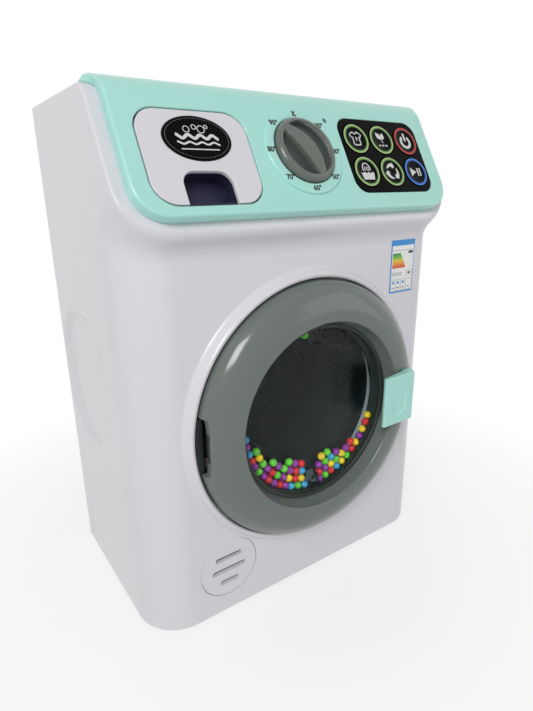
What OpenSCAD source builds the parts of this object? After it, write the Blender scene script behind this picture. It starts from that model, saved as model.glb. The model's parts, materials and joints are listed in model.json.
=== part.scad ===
/* [Body] */
// Width of the body
body_w = 210; // [200:1:240]
// Height of the white body above its feet
body_h = 281; // [275:1:300]
// Depth of the body from its front face to its back
body_d = 123.5; // [120:0.5:150]
// Depth of the front shell, up to its seam with the rear cover
shell_d = 77.5; // [74:0.5:82]
// Wall of the shells
wall = 2.2; // [1.8:0.1:2.8]
// Plan radius of the front upright corners
front_r = 25; // [18:1:28]
// Plan radius of the rear upright corners
back_r = 5; // [3:0.5:8]
// Small radius of the long top edges at the sides
top_r = 1; // [1:0.5:3]
// Height of the rubber feet
foot_h = 1.2; // [0.8:0.1:3]
// Radius of the rubber feet
foot_r = 7; // [5:0.5:9]
// Inset of the feet from the body's sides
foot_inset = 24; // [20:1:30]

/* [Hood] */
// Lean of the control panel back from upright
tilt = 29.5; // [26:0.5:33]
// Setback of the hood's sloping face at the top of the body
rim_y = 28; // [26:0.5:32]
// Length of the hood's sloping face
hood_len = 72.4; // [68:0.1:78]
// Radius of the hood's lower corners
lip_r = 22; // [18:1:28]
// Blend from the sloping face round the lip
lip_blend = 6; // [4:1:12]
// Blend from the lip down into the front face
cove_blend = 16; // [12:1:26]

/* [Side dish] */
// Height of the centre of the dish on each side
dish_z = 132; // [125:1:140]
// Outer radius of the dish
dish_r = 42; // [36:1:46]
// Width of the dish's bevel
dish_bevel = 7; // [4:0.5:10]
// Depth of the dish
dish_deep = 2.5; // [1.5:0.5:4]

/* [Control panel] */
// Inset of the mint panel from each side of the body
panel_inset = 6.2; // [5.5:0.1:10]
// Gap down the slope from the hood's top edge to the panel's lower edge
panel_drop = 67.1; // [64:0.1:69]
// How far the panel stands proud of the hood
panel_proud = 6.5; // [5:0.1:8]
// How far the panel rises above the body's top
panel_over = 2; // [1:0.5:4]
// Depth of the panel's ledge on the body's top
panel_ledge = 7; // [5:0.5:12]
// Radius of the panel's lower corners
panel_r = 16; // [12:1:20]
// Radius of the turn from the panel's slope to its top, seen from the side
panel_top_r = 9.5; // [7:0.5:12]
// Wall of the panel
panel_wall = 2.2; // [1.8:0.1:2.6]
// Width of the hood's ledge under the panel's rim
rim_ledge = 5; // [4:0.5:7]

/* [Drawer] */
// Distance of the drawer's middle from the panel's left side
drawer_in = 36.9; // [35.5:0.1:38]
// Distance down the slope to the drawer's middle
drawer_drop = 38.8; // [38:0.1:40]
// Width of the drawer's front
drawer_w = 55.2; // [52:0.1:57]
// Height of the drawer's front along the slope
drawer_h = 45.7; // [43:0.1:47]
// Corner radius of the drawer's front
drawer_r = 11; // [8:0.5:13]
// Depth of the drawer's tray behind its front
tray_d = 44; // [36:1:48]
// Travel of the drawer
drawer_travel = 36; // [20:1:38]
// Width of the arched finger opening
arch_w = 25; // [20:1:28]
// Height of the arched finger opening
arch_h = 15.8; // [13:0.1:18]
// Half width of the oval badge
badge_a = 17.2; // [14:0.1:19]
// Half height of the oval badge
badge_b = 11.2; // [9:0.1:12]

/* [Program knob] */
// Sideways place of the knob
dial_x = -2.7; // [-4:0.1:0]
// Distance down the slope to the knob's axis
dial_drop = 35; // [34:0.1:36]
// Radius of the ring plate
dial_r = 23.6; // [22:0.1:25]
// Radius of the knob
knob_r = 17.7; // [15:0.1:18]
// Height of the knob's rim
knob_h = 4.2; // [4:0.1:8]
// Height of the grip's crown above the rim
grip_h = 0.8; // [0.4:0.1:3]
// Half width of the grip at its middle
grip_w = 5; // [3.5:0.1:6]
// Depth of the finger pockets beside the grip
scoop_deep = 3.4; // [2:0.1:3.4]
// Turn of the grip from upright
grip_turn = 30; // [-45:5:45]

/* [Keys] */
// Distance of the key plate's middle from the panel's right side
keys_in = 41.8; // [40.8:0.1:42.8]
// Distance down the slope to the key plate's middle
keys_drop = 35.8; // [35:0.1:37]
// Width of the key plate
bezel_w = 61.2; // [60:0.1:64]
// Height of the key plate
bezel_h = 44.2; // [43:0.1:46]
// Corner radius of the key plate
bezel_r = 8; // [6:0.5:9]
// Radius of a key
key_r = 9.1; // [8.5:0.1:9.2]
// Spacing of the keys
key_pitch = 19.8; // [19.7:0.1:20]
// Travel of a key
key_travel = 0.8; // [0.5:0.1:0.9]

/* [Door] */
// Height of the door's centre
door_z = 113.5; // [110:0.5:116]
// Outer radius of the door's ring
door_r = 76.2; // [74:0.1:78]
// How far the ring stands proud of the front face
ring_proud = 16.4; // [15:0.1:18]
// Radius of the ring's opening
port_r = 52.6; // [51:0.1:54]
// Radial width of the ring's rounded shoulder
shoulder = 18.2; // [15:0.1:19]
// Depth of the collar's well behind the front face
well_deep = 2; // [1.5:0.5:4]
// How far the raised collar stands proud
collar_h = 5; // [3.5:0.5:6]
// Radial width of the raised collar
collar_w = 6; // [4:0.5:6.5]
// Wall of the door's parts
door_wall = 2; // [1.6:0.1:2.4]
// Radius of the loose beads
bead_r = 2.3; // [2:0.1:2.4]
// Distance of the hinge pin from the door's centre
hinge_x = 70; // [69:0.5:71]
// Distance of the hinge pin in front of the front face
hinge_k = 9; // [8:0.5:10]
// Radius of the hinge pin
hinge_pin_r = 1.25; // [1:0.05:1.5]

/* [Latch] */
// How far the latch stands proud of the front face
latch_proud = 22; // [21.5:0.5:24]
// Left edge of the latch
latch_x0 = 39.5; // [38:0.5:42]
// Width of the latch's face
latch_w = 25; // [24:0.5:27]
// Height of the latch
latch_h = 31.5; // [28:0.5:34]
// Sideways place of the latch's pin
latch_pin_x = 66.5; // [66:0.1:67]
// Distance of the latch's pin in front of the front face
latch_pin_k = 11.5; // [11:0.1:12]

/* [Drum] */
// Outer radius of the drum
drum_r = 61; // [58:0.5:62]
// Length of the drum
drum_len = 66; // [60:1:68]
// Wall of the drum
drum_wall = 1.8; // [1.4:0.1:2.2]
// Height of the drum's paddles
paddle_h = 9; // [6:0.5:12]
// Teeth on the drive gear
gear_teeth = 60; // [60:4:72]
// Teeth on the motor's pinion
pinion_teeth = 12; // [12:4:16]
// Module of the gears
gear_m = 1; // [0.9:0.05:1.05]
// Width of the gears
gear_w = 5; // [4:0.5:6]

/* [Speaker grille] */
// Distance of the grille's middle from the body's left side
grille_in = 46.7; // [45:0.1:49]
// Height of the grille's middle
grille_z = 29.8; // [26:0.1:31]
// Radius of the grille
grille_r = 18.2; // [15:0.1:19]
// Height of a slot
slot_h = 3; // [2:0.1:3.6]
// Spacing of the slots
slot_pitch = 8; // [7:0.5:9]

/* [Battery box] */
// Radius of a cell
cell_r = 7.1; // [7:0.05:7.2]
// Length of a cell
cell_len = 50; // [49:0.5:51]
// Number of cells
cell_count = 3; // [2:1:4]
// Height of the battery door's middle
battery_z = 34; // [30:1:40]

/* [Label] */
// Width of the sticker
label_w = 20.5; // [18:0.5:22]
// Height of the sticker
label_h = 32; // [28:0.5:34]
// Thickness of the sticker
label_t = 0.15; // [0.1:0.05:0.3]
// Distance of the sticker's middle from the body's right side
label_in = 33.8; // [33:0.1:37]
// Distance of the sticker's middle below the hood's lip
label_under = 28; // [27:0.5:32]

/* [Hidden] */
$fn = 64;

white = "#F1F1F3";
mint = "#A9E0D5";
ring_grey = "#5F685F";
navy = "#2C2C48";
steel = "#B8BCC0";
black = "#17181A";
charcoal = "#35383B";

// clearances
gap = 0.3;
run_fit = 0.05;
far = 400;
eps = 0.5;

// body
half_w = body_w / 2;
panel_w = body_w - 2 * panel_inset;
drawer_x = drawer_in - panel_w / 2;
keys_x = panel_w / 2 - keys_in;
grille_x = grille_in - half_w;
label_x = half_w - label_in;
post_r = 4;
post_x = half_w - wall - post_r;
post_inner = 30;
post_hole_r = 1.4;
screw_head_r = 3;
screw_head_h = 2;
screw_r = 1.35;
screw_grip = 14;
low_post_z = 18;
mid_post_z = 74;
high_post_z = body_h - 85;
top_post_z = body_h - 19;
post_zs = [low_post_z, mid_post_z, high_post_z, top_post_z];
corner_steps = 8;
row_step = 3;

// the hood's lower lip, measured up the slope and then as a height
rim_top_v = rim_y * sin(tilt) + body_h * cos(tilt);
lip_v = rim_top_v - hood_len;
lip_z = body_h - hood_len * cos(tilt);
label_z = lip_z - label_under;
cove_rise = 26;

// depths inside the door, in front of the front face
hole_clear = 1;
hole_r = door_r + hole_clear;
skirt_k = 0.4;
liner_k = skirt_k + door_wall - 0.2;
window_t = 1.7;
window_k = 5.2;
gasket_t = 1;
lip_k = window_k + window_t + gasket_t;
chamber_r = port_r - 2.6;
tube_wall = 2;
inner_window_t = 1.8;
bead_play = 1.2;
inner_window_k = window_k - 2 * bead_r - bead_play;
tube_k = inner_window_k - inner_window_t;
window_r = port_r + 1.4;
liner_r = door_r - door_wall - 0.4;
tube_r = chamber_r + tube_wall;
neck_r = tube_r + 1.5;
neck_deep = 8;
post_ring_r = 63;
door_post_angles = [45, 90, 135, 225, 270, 315];
door_post_r = 3;
notch_h = 32;
ear_gap = 7.8;
ear_t = 4;
knuckle_r = 3;
hinge_open = 105;
shoulder_k = 4;
notch_k = 11.2;
latch_pin_r = 1.2;
latch_clear = 0.35;
latch_heel = 3.8;
hook_k = -3.4;
spring_y = 7;
rib_len = 9;

// drum and drive
drum_y = neck_deep + 1.2;
drum_end = drum_y + drum_len;
drum_floor_t = 2;
tub_r = drum_r + 2;
tub_wall = 2;
tub_y = well_deep + wall;
tub_end = drum_end + 3 + tub_wall;
tub_flange_r = tub_r + 9;
shaft_r = 3;
bush_r = 6;
bush_flange_r = 9;
bush_flange_t = 1.5;
gear_y = tub_end + bush_flange_t + 2;
plate_y = gear_y + gear_w + 2;
plate_t = 2;
gear_centres = gear_m * (gear_teeth + pinion_teeth) / 2;
motor_angle = -60;
motor_x = gear_centres * cos(motor_angle);
motor_z = door_z + gear_centres * sin(motor_angle);
motor_r = 12;
motor_len = 24;
motor_shaft_r = 1;
bracket_post_r = 3;
gear_tip = gear_m * gear_teeth / 2 + gear_m;
bracket_reach = (gear_tip + bracket_post_r + 2) / sqrt(2);
bracket_right = motor_x + motor_r + bracket_post_r + 1;
bracket_edge = bracket_post_r + 2;

// control panel, from the hood's sloping face outwards
plate_n = panel_proud - panel_wall;
rim_wall = wall * cos(tilt);
rim_cut_top = 7;
rim_cut_r = 6;
panel_screw_drops = [0.24 * panel_drop, 0.66 * panel_drop];
tray_w = drawer_w - 6;
tray_top = drawer_drop - drawer_h / 2 + 4;
tray_low = drawer_drop + drawer_h / 2 - 4.7;
tray_wall = 1.6;
chute_wall = 1.4;
chute_gap = 0.4;
front_t = 2;
drawer_gap = 0.7;
flange_w = 1.3;
chute_flange_t = 1.2;
arch_r = 6.5;
pocket_deep = 7;
pocket_lip = 1.2;
pocket_rise = 4;
cup_w = arch_w + 3;
cup_deep = pocket_deep + tray_wall;
foot_y = -drawer_drop - drawer_h / 2;

// keys, measured out from the hood's sloping face
bezel_proud = 0.4;
key_proud = 0.4;
key_gap = 0.25;
skirt_w = 1.5;
board_t = 1.6;
mat_t = 0.8;
skirt_n = -0.4;
flange_t = 1;
key_flange_r = key_r + 0.6;
stem_r = 3;
stem_n = skirt_n + mat_t + 0.4 + key_travel;

// battery box in the rear cover
cell_y = body_d - wall - 1 - cell_r;
cell_pitch = 2 * cell_r + 1;
box_wall = 2.4;
spring_len = 6;
box_in_w = cell_len + spring_len + 2;
box_in_h = cell_count * cell_pitch + 1;
box_y = cell_y - cell_r - 1;
door_lip = 1.2;
hatch_r = 3;
tab_w = 12;
tab_h = 8;
tab_boss = 7;
hatch_head_r = 2.8;
hatch_head_h = 1.2;
hatch_sunk = 1.4;
press_rib = 0.7;

// screws seat in deep wells that leave this much boss before the seam
boss_floor = 8;
screw_well = body_d - shell_d - boss_floor;
vent_z = body_h - 104;
vent_pitch = 6;

// small pieces of the control panel
lens_x = 18.9;
lens_drop = 15.8;
lens_r = 1.2;
switch_neck_r = 4.5;
knob_seat = 0.3;
knob_bore = 3.4;
knob_clear = 0.4;
rim_round = 2.8;
scoop_r = 15;
crown_r = 90;
dial_t = 1.4;
badge_drop = 30.1;

// catch and hinge plates, let into the floor of the collar's well
catch_w = 15;
catch_h = 16;
catch_x = latch_pin_x + 0.2;
bracket_w = 16;
bracket_h = 22;
bracket_x = -hinge_x + 4;
guard_x = -hinge_x - 2.9;
guard_h = 30;
guard_k = collar_h - 0.4;

// main board, upright inside the rear cover
board_w = 70;
board_h = 46;
board_z = body_h - 41;
board_y = 108;
board_grip = 7;
board_holes = [for (x = [-1, 1]) for (z = [-1, 1]) [x * (board_w / 2 - 5), board_z + z * (board_h / 2 - 5)]];

// ---- placing ----

module placed() {
    translate([0, -(body_d - latch_proud) / 2, foot_h]) children();
}

// local x right, y up, z out of the front face, about the door's centre
module facing(x = 0, z = door_z) {
    placed() translate([x, 0, z]) rotate([90, 0, 0]) children();
}

// local x right, y up the slope, z out of the hood's sloping face
module on_slope(x = 0, drop = 0) {
    placed() translate([0, rim_y, body_h]) rotate([90 - tilt, 0, 0])
        translate([x, -drop, 0]) children();
}

// ---- plane shapes ----

function arc(cx, cy, r, a0, a1, n = 8) =
    [for (i = [0:n]) let (a = a0 + (a1 - a0) * i / n) [cx + r * cos(a), cy + r * sin(a)]];

// a rectangle about the origin with its own lower and upper corner radii
function rounded(w, h, low, high) = concat(
    arc(w / 2 - low, low - h / 2, low, -90, 0),
    arc(w / 2 - high, h / 2 - high, high, 0, 90),
    arc(high - w / 2, h / 2 - high, high, 90, 180),
    arc(low - w / 2, low - h / 2, low, 180, 270));

module plate(w, h, r, t) {
    linear_extrude(t) polygon(rounded(w, h, r, r));
}

function oval(a, b, n = 48) = [for (i = [0:n - 1]) [a * cos(360 * i / n), b * sin(360 * i / n)]];

module oval_plate(a, b, t) {
    linear_extrude(t) polygon(oval(a, b));
}

// a point on the side view, from its drop down the slope and its height off it
function slope_point(drop, n) =
    [rim_y - drop * sin(tilt) - n * cos(tilt), body_h - drop * cos(tilt) + n * sin(tilt)];

// extrudes a side view of [y, z] points across the body
module across(w, points) {
    translate([-w / 2, 0, 0]) rotate([90, 0, 90]) linear_extrude(w) polygon(points);
}

// a round wire along a list of points, as one closed skin
function unit(v) = v / norm(v);
function tangent(path, i) =
    unit(path[min(i + 1, len(path) - 1)] - path[max(i - 1, 0)]);
module wire(path, r, sides = 8) {
    n = len(path);
    points = [for (i = [0:n - 1]) let (
        t = tangent(path, i),
        u = unit(cross(t, abs(t.z) < 0.9 ? [0, 0, 1] : [1, 0, 0])),
        v = cross(t, u))
        for (k = [0:sides - 1]) path[i] + r * (u * cos(360 * k / sides) + v * sin(360 * k / sides))];
    walls = [for (i = [0:n - 2]) for (k = [0:sides - 1]) let (l = (k + 1) % sides)
        [i * sides + k, (i + 1) * sides + k, (i + 1) * sides + l, i * sides + l]];
    ends = [[for (k = [0:sides - 1]) k], [for (k = [sides - 1:-1:0]) (n - 1) * sides + k]];
    polyhedron(points, concat(walls, ends), convexity = 6);
}

function helix(r, turns, len, steps = 10) =
    [for (i = [0:turns * steps])
        [r * cos(360 * i / steps), r * sin(360 * i / steps), len * i / (turns * steps)]];

module tube(r_out, r_in, h) {
    difference() {
        cylinder(r = r_out, h = h);
        translate([0, 0, -eps]) cylinder(r = r_in, h = h + 2 * eps);
    }
}

// ---- the body's skin ----

function smooth_min(a, b, k) = min(a, b) - pow(max(k - abs(a - b), 0), 2) / (4 * k);
function smooth_max(a, b, k) = max(a, b) + pow(max(k - abs(a - b), 0), 2) / (4 * k);
function corner_set(d, r) = r - sqrt(max(r * r - pow(max(d, 0), 2), 0));

// how far back the front surface lies at a sideways place and a height: the upright face,
// blended up into the hood's lip and its sloping face
function front_y(x, z) = let (
    ax = abs(x),
    face = corner_set(ax - (half_w - front_r), front_r),
    slope = rim_y - tan(tilt) * (body_h - z) + corner_set(ax - (half_w - top_r), top_r) / cos(tilt),
    lip = lip_v + corner_set(ax - (half_w - lip_r), lip_r),
    under = (lip - z * cos(tilt)) / sin(tilt))
    smooth_max(slope, smooth_min(face, under, cove_blend), lip_blend);

// the front part of the body as a solid, set in by a wall: a grid of front points, the same
// grid on the seam's plane behind it, and strips that close its four sides
module front_block(inset) {
    corner = [for (i = [0:corner_steps]) sin(90 * i / corner_steps)];
    sides = concat([for (i = [corner_steps:-1:0]) [-1, corner[i]]], [for (c = corner) [1, c]]);
    rows = concat([inset], [for (z = [lip_z - cove_rise:row_step:lip_z + cove_rise]) z],
        [body_h - inset]);
    nc = len(sides);
    nr = len(rows);
    b = nc * nr;
    front = [for (z = rows) for (s = sides) [
        s[0] * (half_w - front_r + (front_r - inset) * s[1]),
        front_y(half_w - front_r + front_r * s[1], z) + inset, z]];
    back = [for (p = front) [p.x, shell_d + inset / 2, p.z]];
    skin = [for (j = [0:nr - 2]) for (i = [0:nc - 2]) let (a = j * nc + i)
        each [[a, a + nc, a + nc + 1], [a, a + nc + 1, a + 1],
            [b + a, b + a + nc + 1, b + a + nc], [b + a, b + a + 1, b + a + nc + 1]]];
    floors = [for (i = [0:nc - 2]) for (q = [[i, i + 1], [b - nc + i + 1, b - nc + i]])
        each [[q[0], q[1], b + q[1]], [q[0], b + q[1], b + q[0]]]];
    ends = [for (j = [0:nr - 2]) for (q = [[(j + 1) * nc, j * nc], [j * nc + nc - 1, (j + 2) * nc - 1]])
        each [[q[0], q[1], b + q[1]], [q[0], b + q[1], b + q[0]]]];
    polyhedron(concat(front, back), concat(skin, floors, ends), convexity = 8);
}

// the body's outline seen from the front, which rounds its long top edges
module front_outline(inset) {
    w = body_w - 2 * inset;
    r = max(top_r - inset / 2, 0.5);
    translate([0, body_d + eps, 0]) rotate([90, 0, 0]) linear_extrude(body_d + 60)
        translate([0, body_h / 2, 0]) polygon(rounded(w, body_h - 2 * inset, 0.5, r));
}

// the rear part of the body as a solid, set in by a wall
module rear_block(inset) {
    h = body_h - 2 * inset;
    intersection() {
        translate([0, 0, inset]) linear_extrude(h) polygon(concat(
            [[-half_w + inset, shell_d - inset], [half_w - inset, shell_d - inset]],
            arc(half_w - back_r, body_d - back_r, back_r - inset / 2, 0, 90),
            arc(back_r - half_w, body_d - back_r, back_r - inset / 2, 90, 180)));
        front_outline(inset);
    }
}

// the shallow dish on each side, or its back when grown by a wall
module dishes(grow) {
    for (side = [-1, 1])
        translate([side * half_w, shell_d, dish_z]) rotate([0, -90 * side, 0])
            translate([0, 0, -eps]) cylinder(r1 = dish_r + grow + eps,
                r2 = dish_r + grow - dish_bevel, h = dish_deep + grow + eps);
}

// ---- nodes of the body ----

module collar() {
    slope = [for (i = [0:8]) [hole_r + collar_w - (collar_w - 1.5) * i / 8,
        collar_h * (1 - cos(180 * i / 8)) / 2]];
    rotate_extrude($fn = 128) polygon(concat(
        [[neck_r, -well_deep], [neck_r, -neck_deep], [neck_r + wall, -neck_deep],
            [neck_r + wall, -well_deep - wall], [hole_r + wall, -well_deep - wall],
            [hole_r + wall, -wall], [hole_r + collar_w, -wall]],
        slope, [[hole_r, collar_h - 1], [hole_r, -well_deep]]));
}

module shell_posts() {
    for (side = [-1, 1]) for (z = post_zs)
        translate([side * post_x, shell_d, z]) rotate([90, 0, 0]) {
            difference() {
                cylinder(r = post_r, h = post_inner);
                translate([0, 0, -eps]) cylinder(r = post_hole_r, h = screw_grip + 2);
            }
            translate([side * (post_r + wall) / 2 + side, 0, post_inner / 2])
                cube([post_r + wall - 1, 2, post_inner], center = true);
        }
}

module front_shell() color(white) {
    difference() {
        union() {
            placed() {
                difference() {
                    intersection() {
                        front_block(0);
                        front_outline(0);
                    }
                    difference() {
                        front_block(wall);
                        dishes(wall);
                    }
                    dishes(0);
                }
                intersection() {
                    shell_posts();
                    front_block(wall / 2);
                }
            }
            facing() collar();
            facing(grille_x, grille_z) translate([0, 0, -8])
                tube(grille_r + 3.5, grille_r + 2, 8 - wall + 0.2);
        }
        facing() {
            translate([0, 0, -well_deep]) cylinder(r = hole_r, h = well_deep + 3, $fn = 128);
            translate([0, 0, -neck_deep - eps]) cylinder(r = neck_r, h = neck_deep);
            catch_place() cube([catch_w, catch_h, 8], center = true);
            bracket_place() cube([bracket_w, bracket_h, 8], center = true);
        }
        facing(grille_x, grille_z) translate([0, 0, -wall - eps])
            cylinder(r = grille_r + gap, h = wall + 2 * eps);
        hood_opening();
        panel_screw_places() translate([0, 0, -rim_wall - 4]) cylinder(r = 1.3, h = 8);
    }
}

module hood_opening() {
    w = panel_w - 2 * (panel_wall + rim_ledge);
    low = panel_drop - panel_wall - rim_ledge;
    deep = 3 * wall;
    low_y = foot_y - drawer_gap;
    on_slope(0, (low + rim_cut_top) / 2) translate([0, 0, -deep])
        plate(w, low - rim_cut_top, rim_cut_r, deep + eps);
    on_slope(drawer_x, -low_y - cup_w / 4) translate([0, 0, -deep])
        plate(cup_w + 2 * drawer_gap, cup_w / 2, 1, deep + eps);
}

module rear_cover() color(white) placed() {
    difference() {
        union() {
            difference() {
                rear_block(0);
                difference() {
                    rear_block(wall);
                    dishes(wall);
                }
                dishes(0);
            }
            intersection() {
                for (side = [-1, 1]) for (z = post_zs) translate([side * post_x, body_d, z])
                    rotate([90, 0, 0]) {
                        cylinder(r = post_r + 0.5, h = body_d - shell_d);
                        translate([side * (post_r + wall) / 2, 0, (body_d - shell_d) / 2])
                            cube([post_r + wall, 2, body_d - shell_d], center = true);
                    }
                rear_block(wall / 2);
            }
            at_board_holes() cylinder(r = 3, h = body_d - wall / 2 - board_y - board_t);
        }
        at_board_holes() translate([0, 0, -eps]) cylinder(r = 1, h = board_grip + eps);
        for (side = [-1, 1]) for (z = post_zs) translate([side * post_x, body_d, z])
            rotate([90, 0, 0]) {
                translate([0, 0, -eps]) cylinder(r = screw_head_r + 0.4, h = screw_well + eps);
                cylinder(r = screw_r + 0.2, h = body_d - shell_d + eps);
            }
        hatch(0, -wall - eps, eps);
        rear_vents();
    }
}

// behind each of the main board's holes, facing the back
module at_board_holes() {
    for (p = board_holes) translate([p[0], board_y + board_t, p[1]]) rotate([-90, 0, 0]) children();
}

module board_screws() color(steel) placed() at_board_holes() {
    translate([0, 0, -board_t]) cylinder(r = 0.95, h = board_t + board_grip - 0.5);
    translate([0, 0, -board_t - 1.4]) cylinder(r = 2.2, h = 1.4);
}

module rear_vents() {
    for (i = [-3:3]) translate([0, body_d, vent_z + i * vent_pitch]) rotate([90, 0, 0])
        translate([0, 0, -eps]) plate(40 - abs(i) * 4, 2.4, 1.1, wall + 2 * eps);
}

// the strip along the hood's top edge, whose slanting ends reach the body's sides
module panel_cap() {
    base = half_w - top_r;
    placed() translate([0, rim_y + panel_ledge, body_h]) rotate([90, 0, 0])
        linear_extrude(panel_ledge - 2 * top_r) polygon([[-base, 0], [base, 0],
            [panel_w / 2, panel_over], [-panel_w / 2, panel_over]]);
}

module control_panel() color(mint) difference() {
    union() {
        panel_solid(0);
        panel_cap();
    }
    panel_solid(panel_wall);
    on_slope(drawer_x, drawer_drop) translate([0, 0, plate_n - 1])
        plate(drawer_w + 2 * drawer_gap, drawer_h + 2 * drawer_gap, drawer_r + drawer_gap, panel_wall + 2);
    on_slope(keys_x, keys_drop) translate([0, 0, plate_n - 1])
        plate(bezel_w + gap, bezel_h + gap, bezel_r + gap / 2, panel_wall + 2);
    on_slope(dial_x, dial_drop) translate([0, 0, plate_n - 1])
        cylinder(r = switch_neck_r + run_fit, h = panel_wall + 2);
    on_slope(lens_x, lens_drop) translate([0, 0, plate_n - 1])
        cylinder(r = lens_r + run_fit, h = panel_wall + 2);
}

// the panel as a solid: its side view, rounded where the slope turns into the top, and cut
// round at its lower corners
module panel_solid(inset) {
    w = panel_w - 2 * inset;
    n = panel_proud - inset;
    low = panel_drop - inset;
    top_z = body_h + (inset > 0 ? 0 : panel_over);
    r = panel_top_r - inset;
    turn_drop = (body_h + (n - r) * sin(tilt) - top_z + r) / cos(tilt);
    turn = slope_point(turn_drop, n - r);
    back_n = inset > 0 ? -1 : 0;
    difference() {
        intersection() {
            placed() across(w, concat([slope_point(low, back_n), slope_point(low, n)],
                arc(turn[0], turn[1], r, 180 - tilt, 90), inset > 0 ? [[rim_y, body_h]] :
                [[rim_y + panel_ledge, top_z], [rim_y + panel_ledge, body_h], [rim_y, body_h]]));
            on_slope(0, low / 2 - 20) translate([0, 0, -far / 2]) linear_extrude(far)
                polygon(rounded(w, low + 40, panel_r - inset, 1));
        }
        if (inset > 0) panel_screw_places() cylinder(r = 2.4, h = plate_n + 1);
    }
    if (inset > 0) panel_screw_places() translate([0, 0, -eps]) cylinder(r = 1, h = plate_n);
}

module panel_screw_places() {
    x = panel_w / 2 - panel_wall - rim_ledge / 2;
    for (side = [-1, 1]) for (drop = panel_screw_drops) on_slope(side * x, drop) children();
}

module panel_screws() color(steel) panel_screw_places() translate([0, 0, -rim_wall]) {
    cylinder(r = 0.95, h = rim_wall + plate_n - 1);
    translate([0, 0, -1.4]) cylinder(r = 2.2, h = 1.4);
}

module dial_plate() color(mint) on_slope(dial_x, dial_drop) translate([0, 0, panel_proud])
    rotate_extrude($fn = 96) polygon([[knob_r + knob_clear, 0], [dial_r, 0], [dial_r, 0.9],
        [dial_r - 0.7, dial_t], [knob_r + knob_clear, dial_t]]);

module knob_switch() color(charcoal) on_slope(dial_x, dial_drop) difference() {
    union() {
        translate([-7, -7, plate_n - 8]) cube([14, 14, 8]);
        translate([0, 0, plate_n - eps]) cylinder(r = switch_neck_r, h = panel_wall + eps);
    }
    translate([0, 0, plate_n - 20]) cylinder(r = shaft_r + run_fit, h = 40);
}

module knob_shaft() color(steel) on_slope(dial_x, dial_drop) translate([0, 0, plate_n - 6])
    cylinder(r = shaft_r, h = panel_wall + 6 + knob_seat + knob_bore);

module program_knob() color("#777A74") on_slope(dial_x, dial_drop)
    translate([0, 0, panel_proud + knob_seat]) rotate([0, 0, grip_turn]) difference() {
        union() {
            rotate_extrude($fn = 96) polygon(concat([[0, 0], [knob_r, 0]],
                arc(knob_r - rim_round, knob_h - rim_round, rim_round, 0, 90),
                [[0, knob_h]]));
            intersection() {
                grip();
                cylinder(r = scoop_r, h = knob_h + grip_h);
                translate([0, 0, knob_h + grip_h - crown_r]) sphere(r = crown_r, $fn = 180);
            }
        }
        difference() {
            translate([0, 0, knob_h - scoop_deep])
                cylinder(r1 = scoop_r - 3, r2 = scoop_r + 0.4, h = scoop_deep + 0.4, $fn = 96);
            grip();
        }
        translate([0, 0, -eps]) cylinder(r = shaft_r, h = knob_bore + eps);
    }

// the grip between the finger pockets: two cones that meet in a long blade
module grip() {
    side = (pow(scoop_r, 2) - pow(grip_w, 2)) / (2 * grip_w);
    intersection_for (s = [-1, 1]) translate([s * side, 0, 0])
        cylinder(r1 = side + grip_w + 2, r2 = side + grip_w, h = knob_h + grip_h, $fn = 180);
}

module indicator_lens() color("#6F8F89") on_slope(lens_x, lens_drop) translate([0, 0, plate_n - 1])
    cylinder(r = lens_r, h = panel_wall + 0.9);

module key_spots() {
    for (i = [-1, 0, 1]) for (j = [0, 1])
        translate([i * key_pitch, (0.5 - j) * key_pitch, 0]) children();
}

module key_bezel() color(black) on_slope(keys_x, keys_drop) difference() {
    union() {
        translate([0, 0, plate_n - eps]) plate(bezel_w, bezel_h, bezel_r, panel_wall + bezel_proud + eps);
        translate([0, 0, skirt_n])
            plate(bezel_w + 2 * skirt_w, bezel_h + 2 * skirt_w, 4, plate_n - skirt_n);
    }
    translate([0, 0, skirt_n - eps])
        plate(bezel_w - 0.4, bezel_h - 0.4, 3, plate_n - skirt_n + eps);
    key_spots() cylinder(r = key_r + key_gap, h = 20);
}

module key_mat() color("#C9CCCF") on_slope(keys_x, keys_drop) {
    translate([0, 0, skirt_n]) plate(bezel_w - 1, bezel_h - 1, 3, mat_t);
    key_spots() translate([0, 0, skirt_n + mat_t - 0.1]) cylinder(r1 = 4, r2 = 3.4, h = 0.3);
}

module keypad_board() color("#2F6B3F") on_slope(keys_x, keys_drop) translate([0, 0, skirt_n - board_t]) {
    plate(bezel_w + 2 * skirt_w, bezel_h + 2 * skirt_w, 3, board_t);
    for (i = [-1, 1]) translate([i * 14, 4, -2]) plate(9, 7, 0.5, 2.2);
}

// a key: its cap, a flange that holds it under the plate, and the stem over its dome
module key_at(i, j, tint) color(tint) on_slope(keys_x, keys_drop)
    translate([i * key_pitch, (0.5 - j) * key_pitch, 0]) {
        translate([0, 0, plate_n - gap - flange_t]) {
            cylinder(r = key_flange_r, h = flange_t);
            cylinder(r = key_r, h = panel_wall + bezel_proud + key_proud + gap + flange_t);
        }
        translate([0, 0, stem_n]) cylinder(r = stem_r, h = plate_n - gap - flange_t - stem_n + 0.1);
    }

module key_shirt() key_at(-1, 0, "#3C4A34");
module key_leaf() key_at(0, 0, "#3C4A34");
module key_power() key_at(1, 0, "#5A2A2A");
module key_basin() key_at(-1, 1, "#3C4A34");
module key_cycle() key_at(0, 1, "#3C4A34");
module key_play() key_at(1, 1, "#25405E");

// ---- drawer ----

module drawer_front() color(white) on_slope(drawer_x, drawer_drop)
    translate([0, 0, panel_proud - front_t]) difference() {
        plate(drawer_w, drawer_h, drawer_r, front_t);
        translate([0, -drawer_h / 2, -eps]) linear_extrude(front_t + 2 * eps)
            arch(-eps, 0.5);
    }

// the finger opening above a given height, with upright sides and two round upper corners
module arch(low, low_r) translate([0, (arch_h + low) / 2])
    polygon(rounded(arch_w, arch_h - low, low_r, arch_r));

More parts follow.
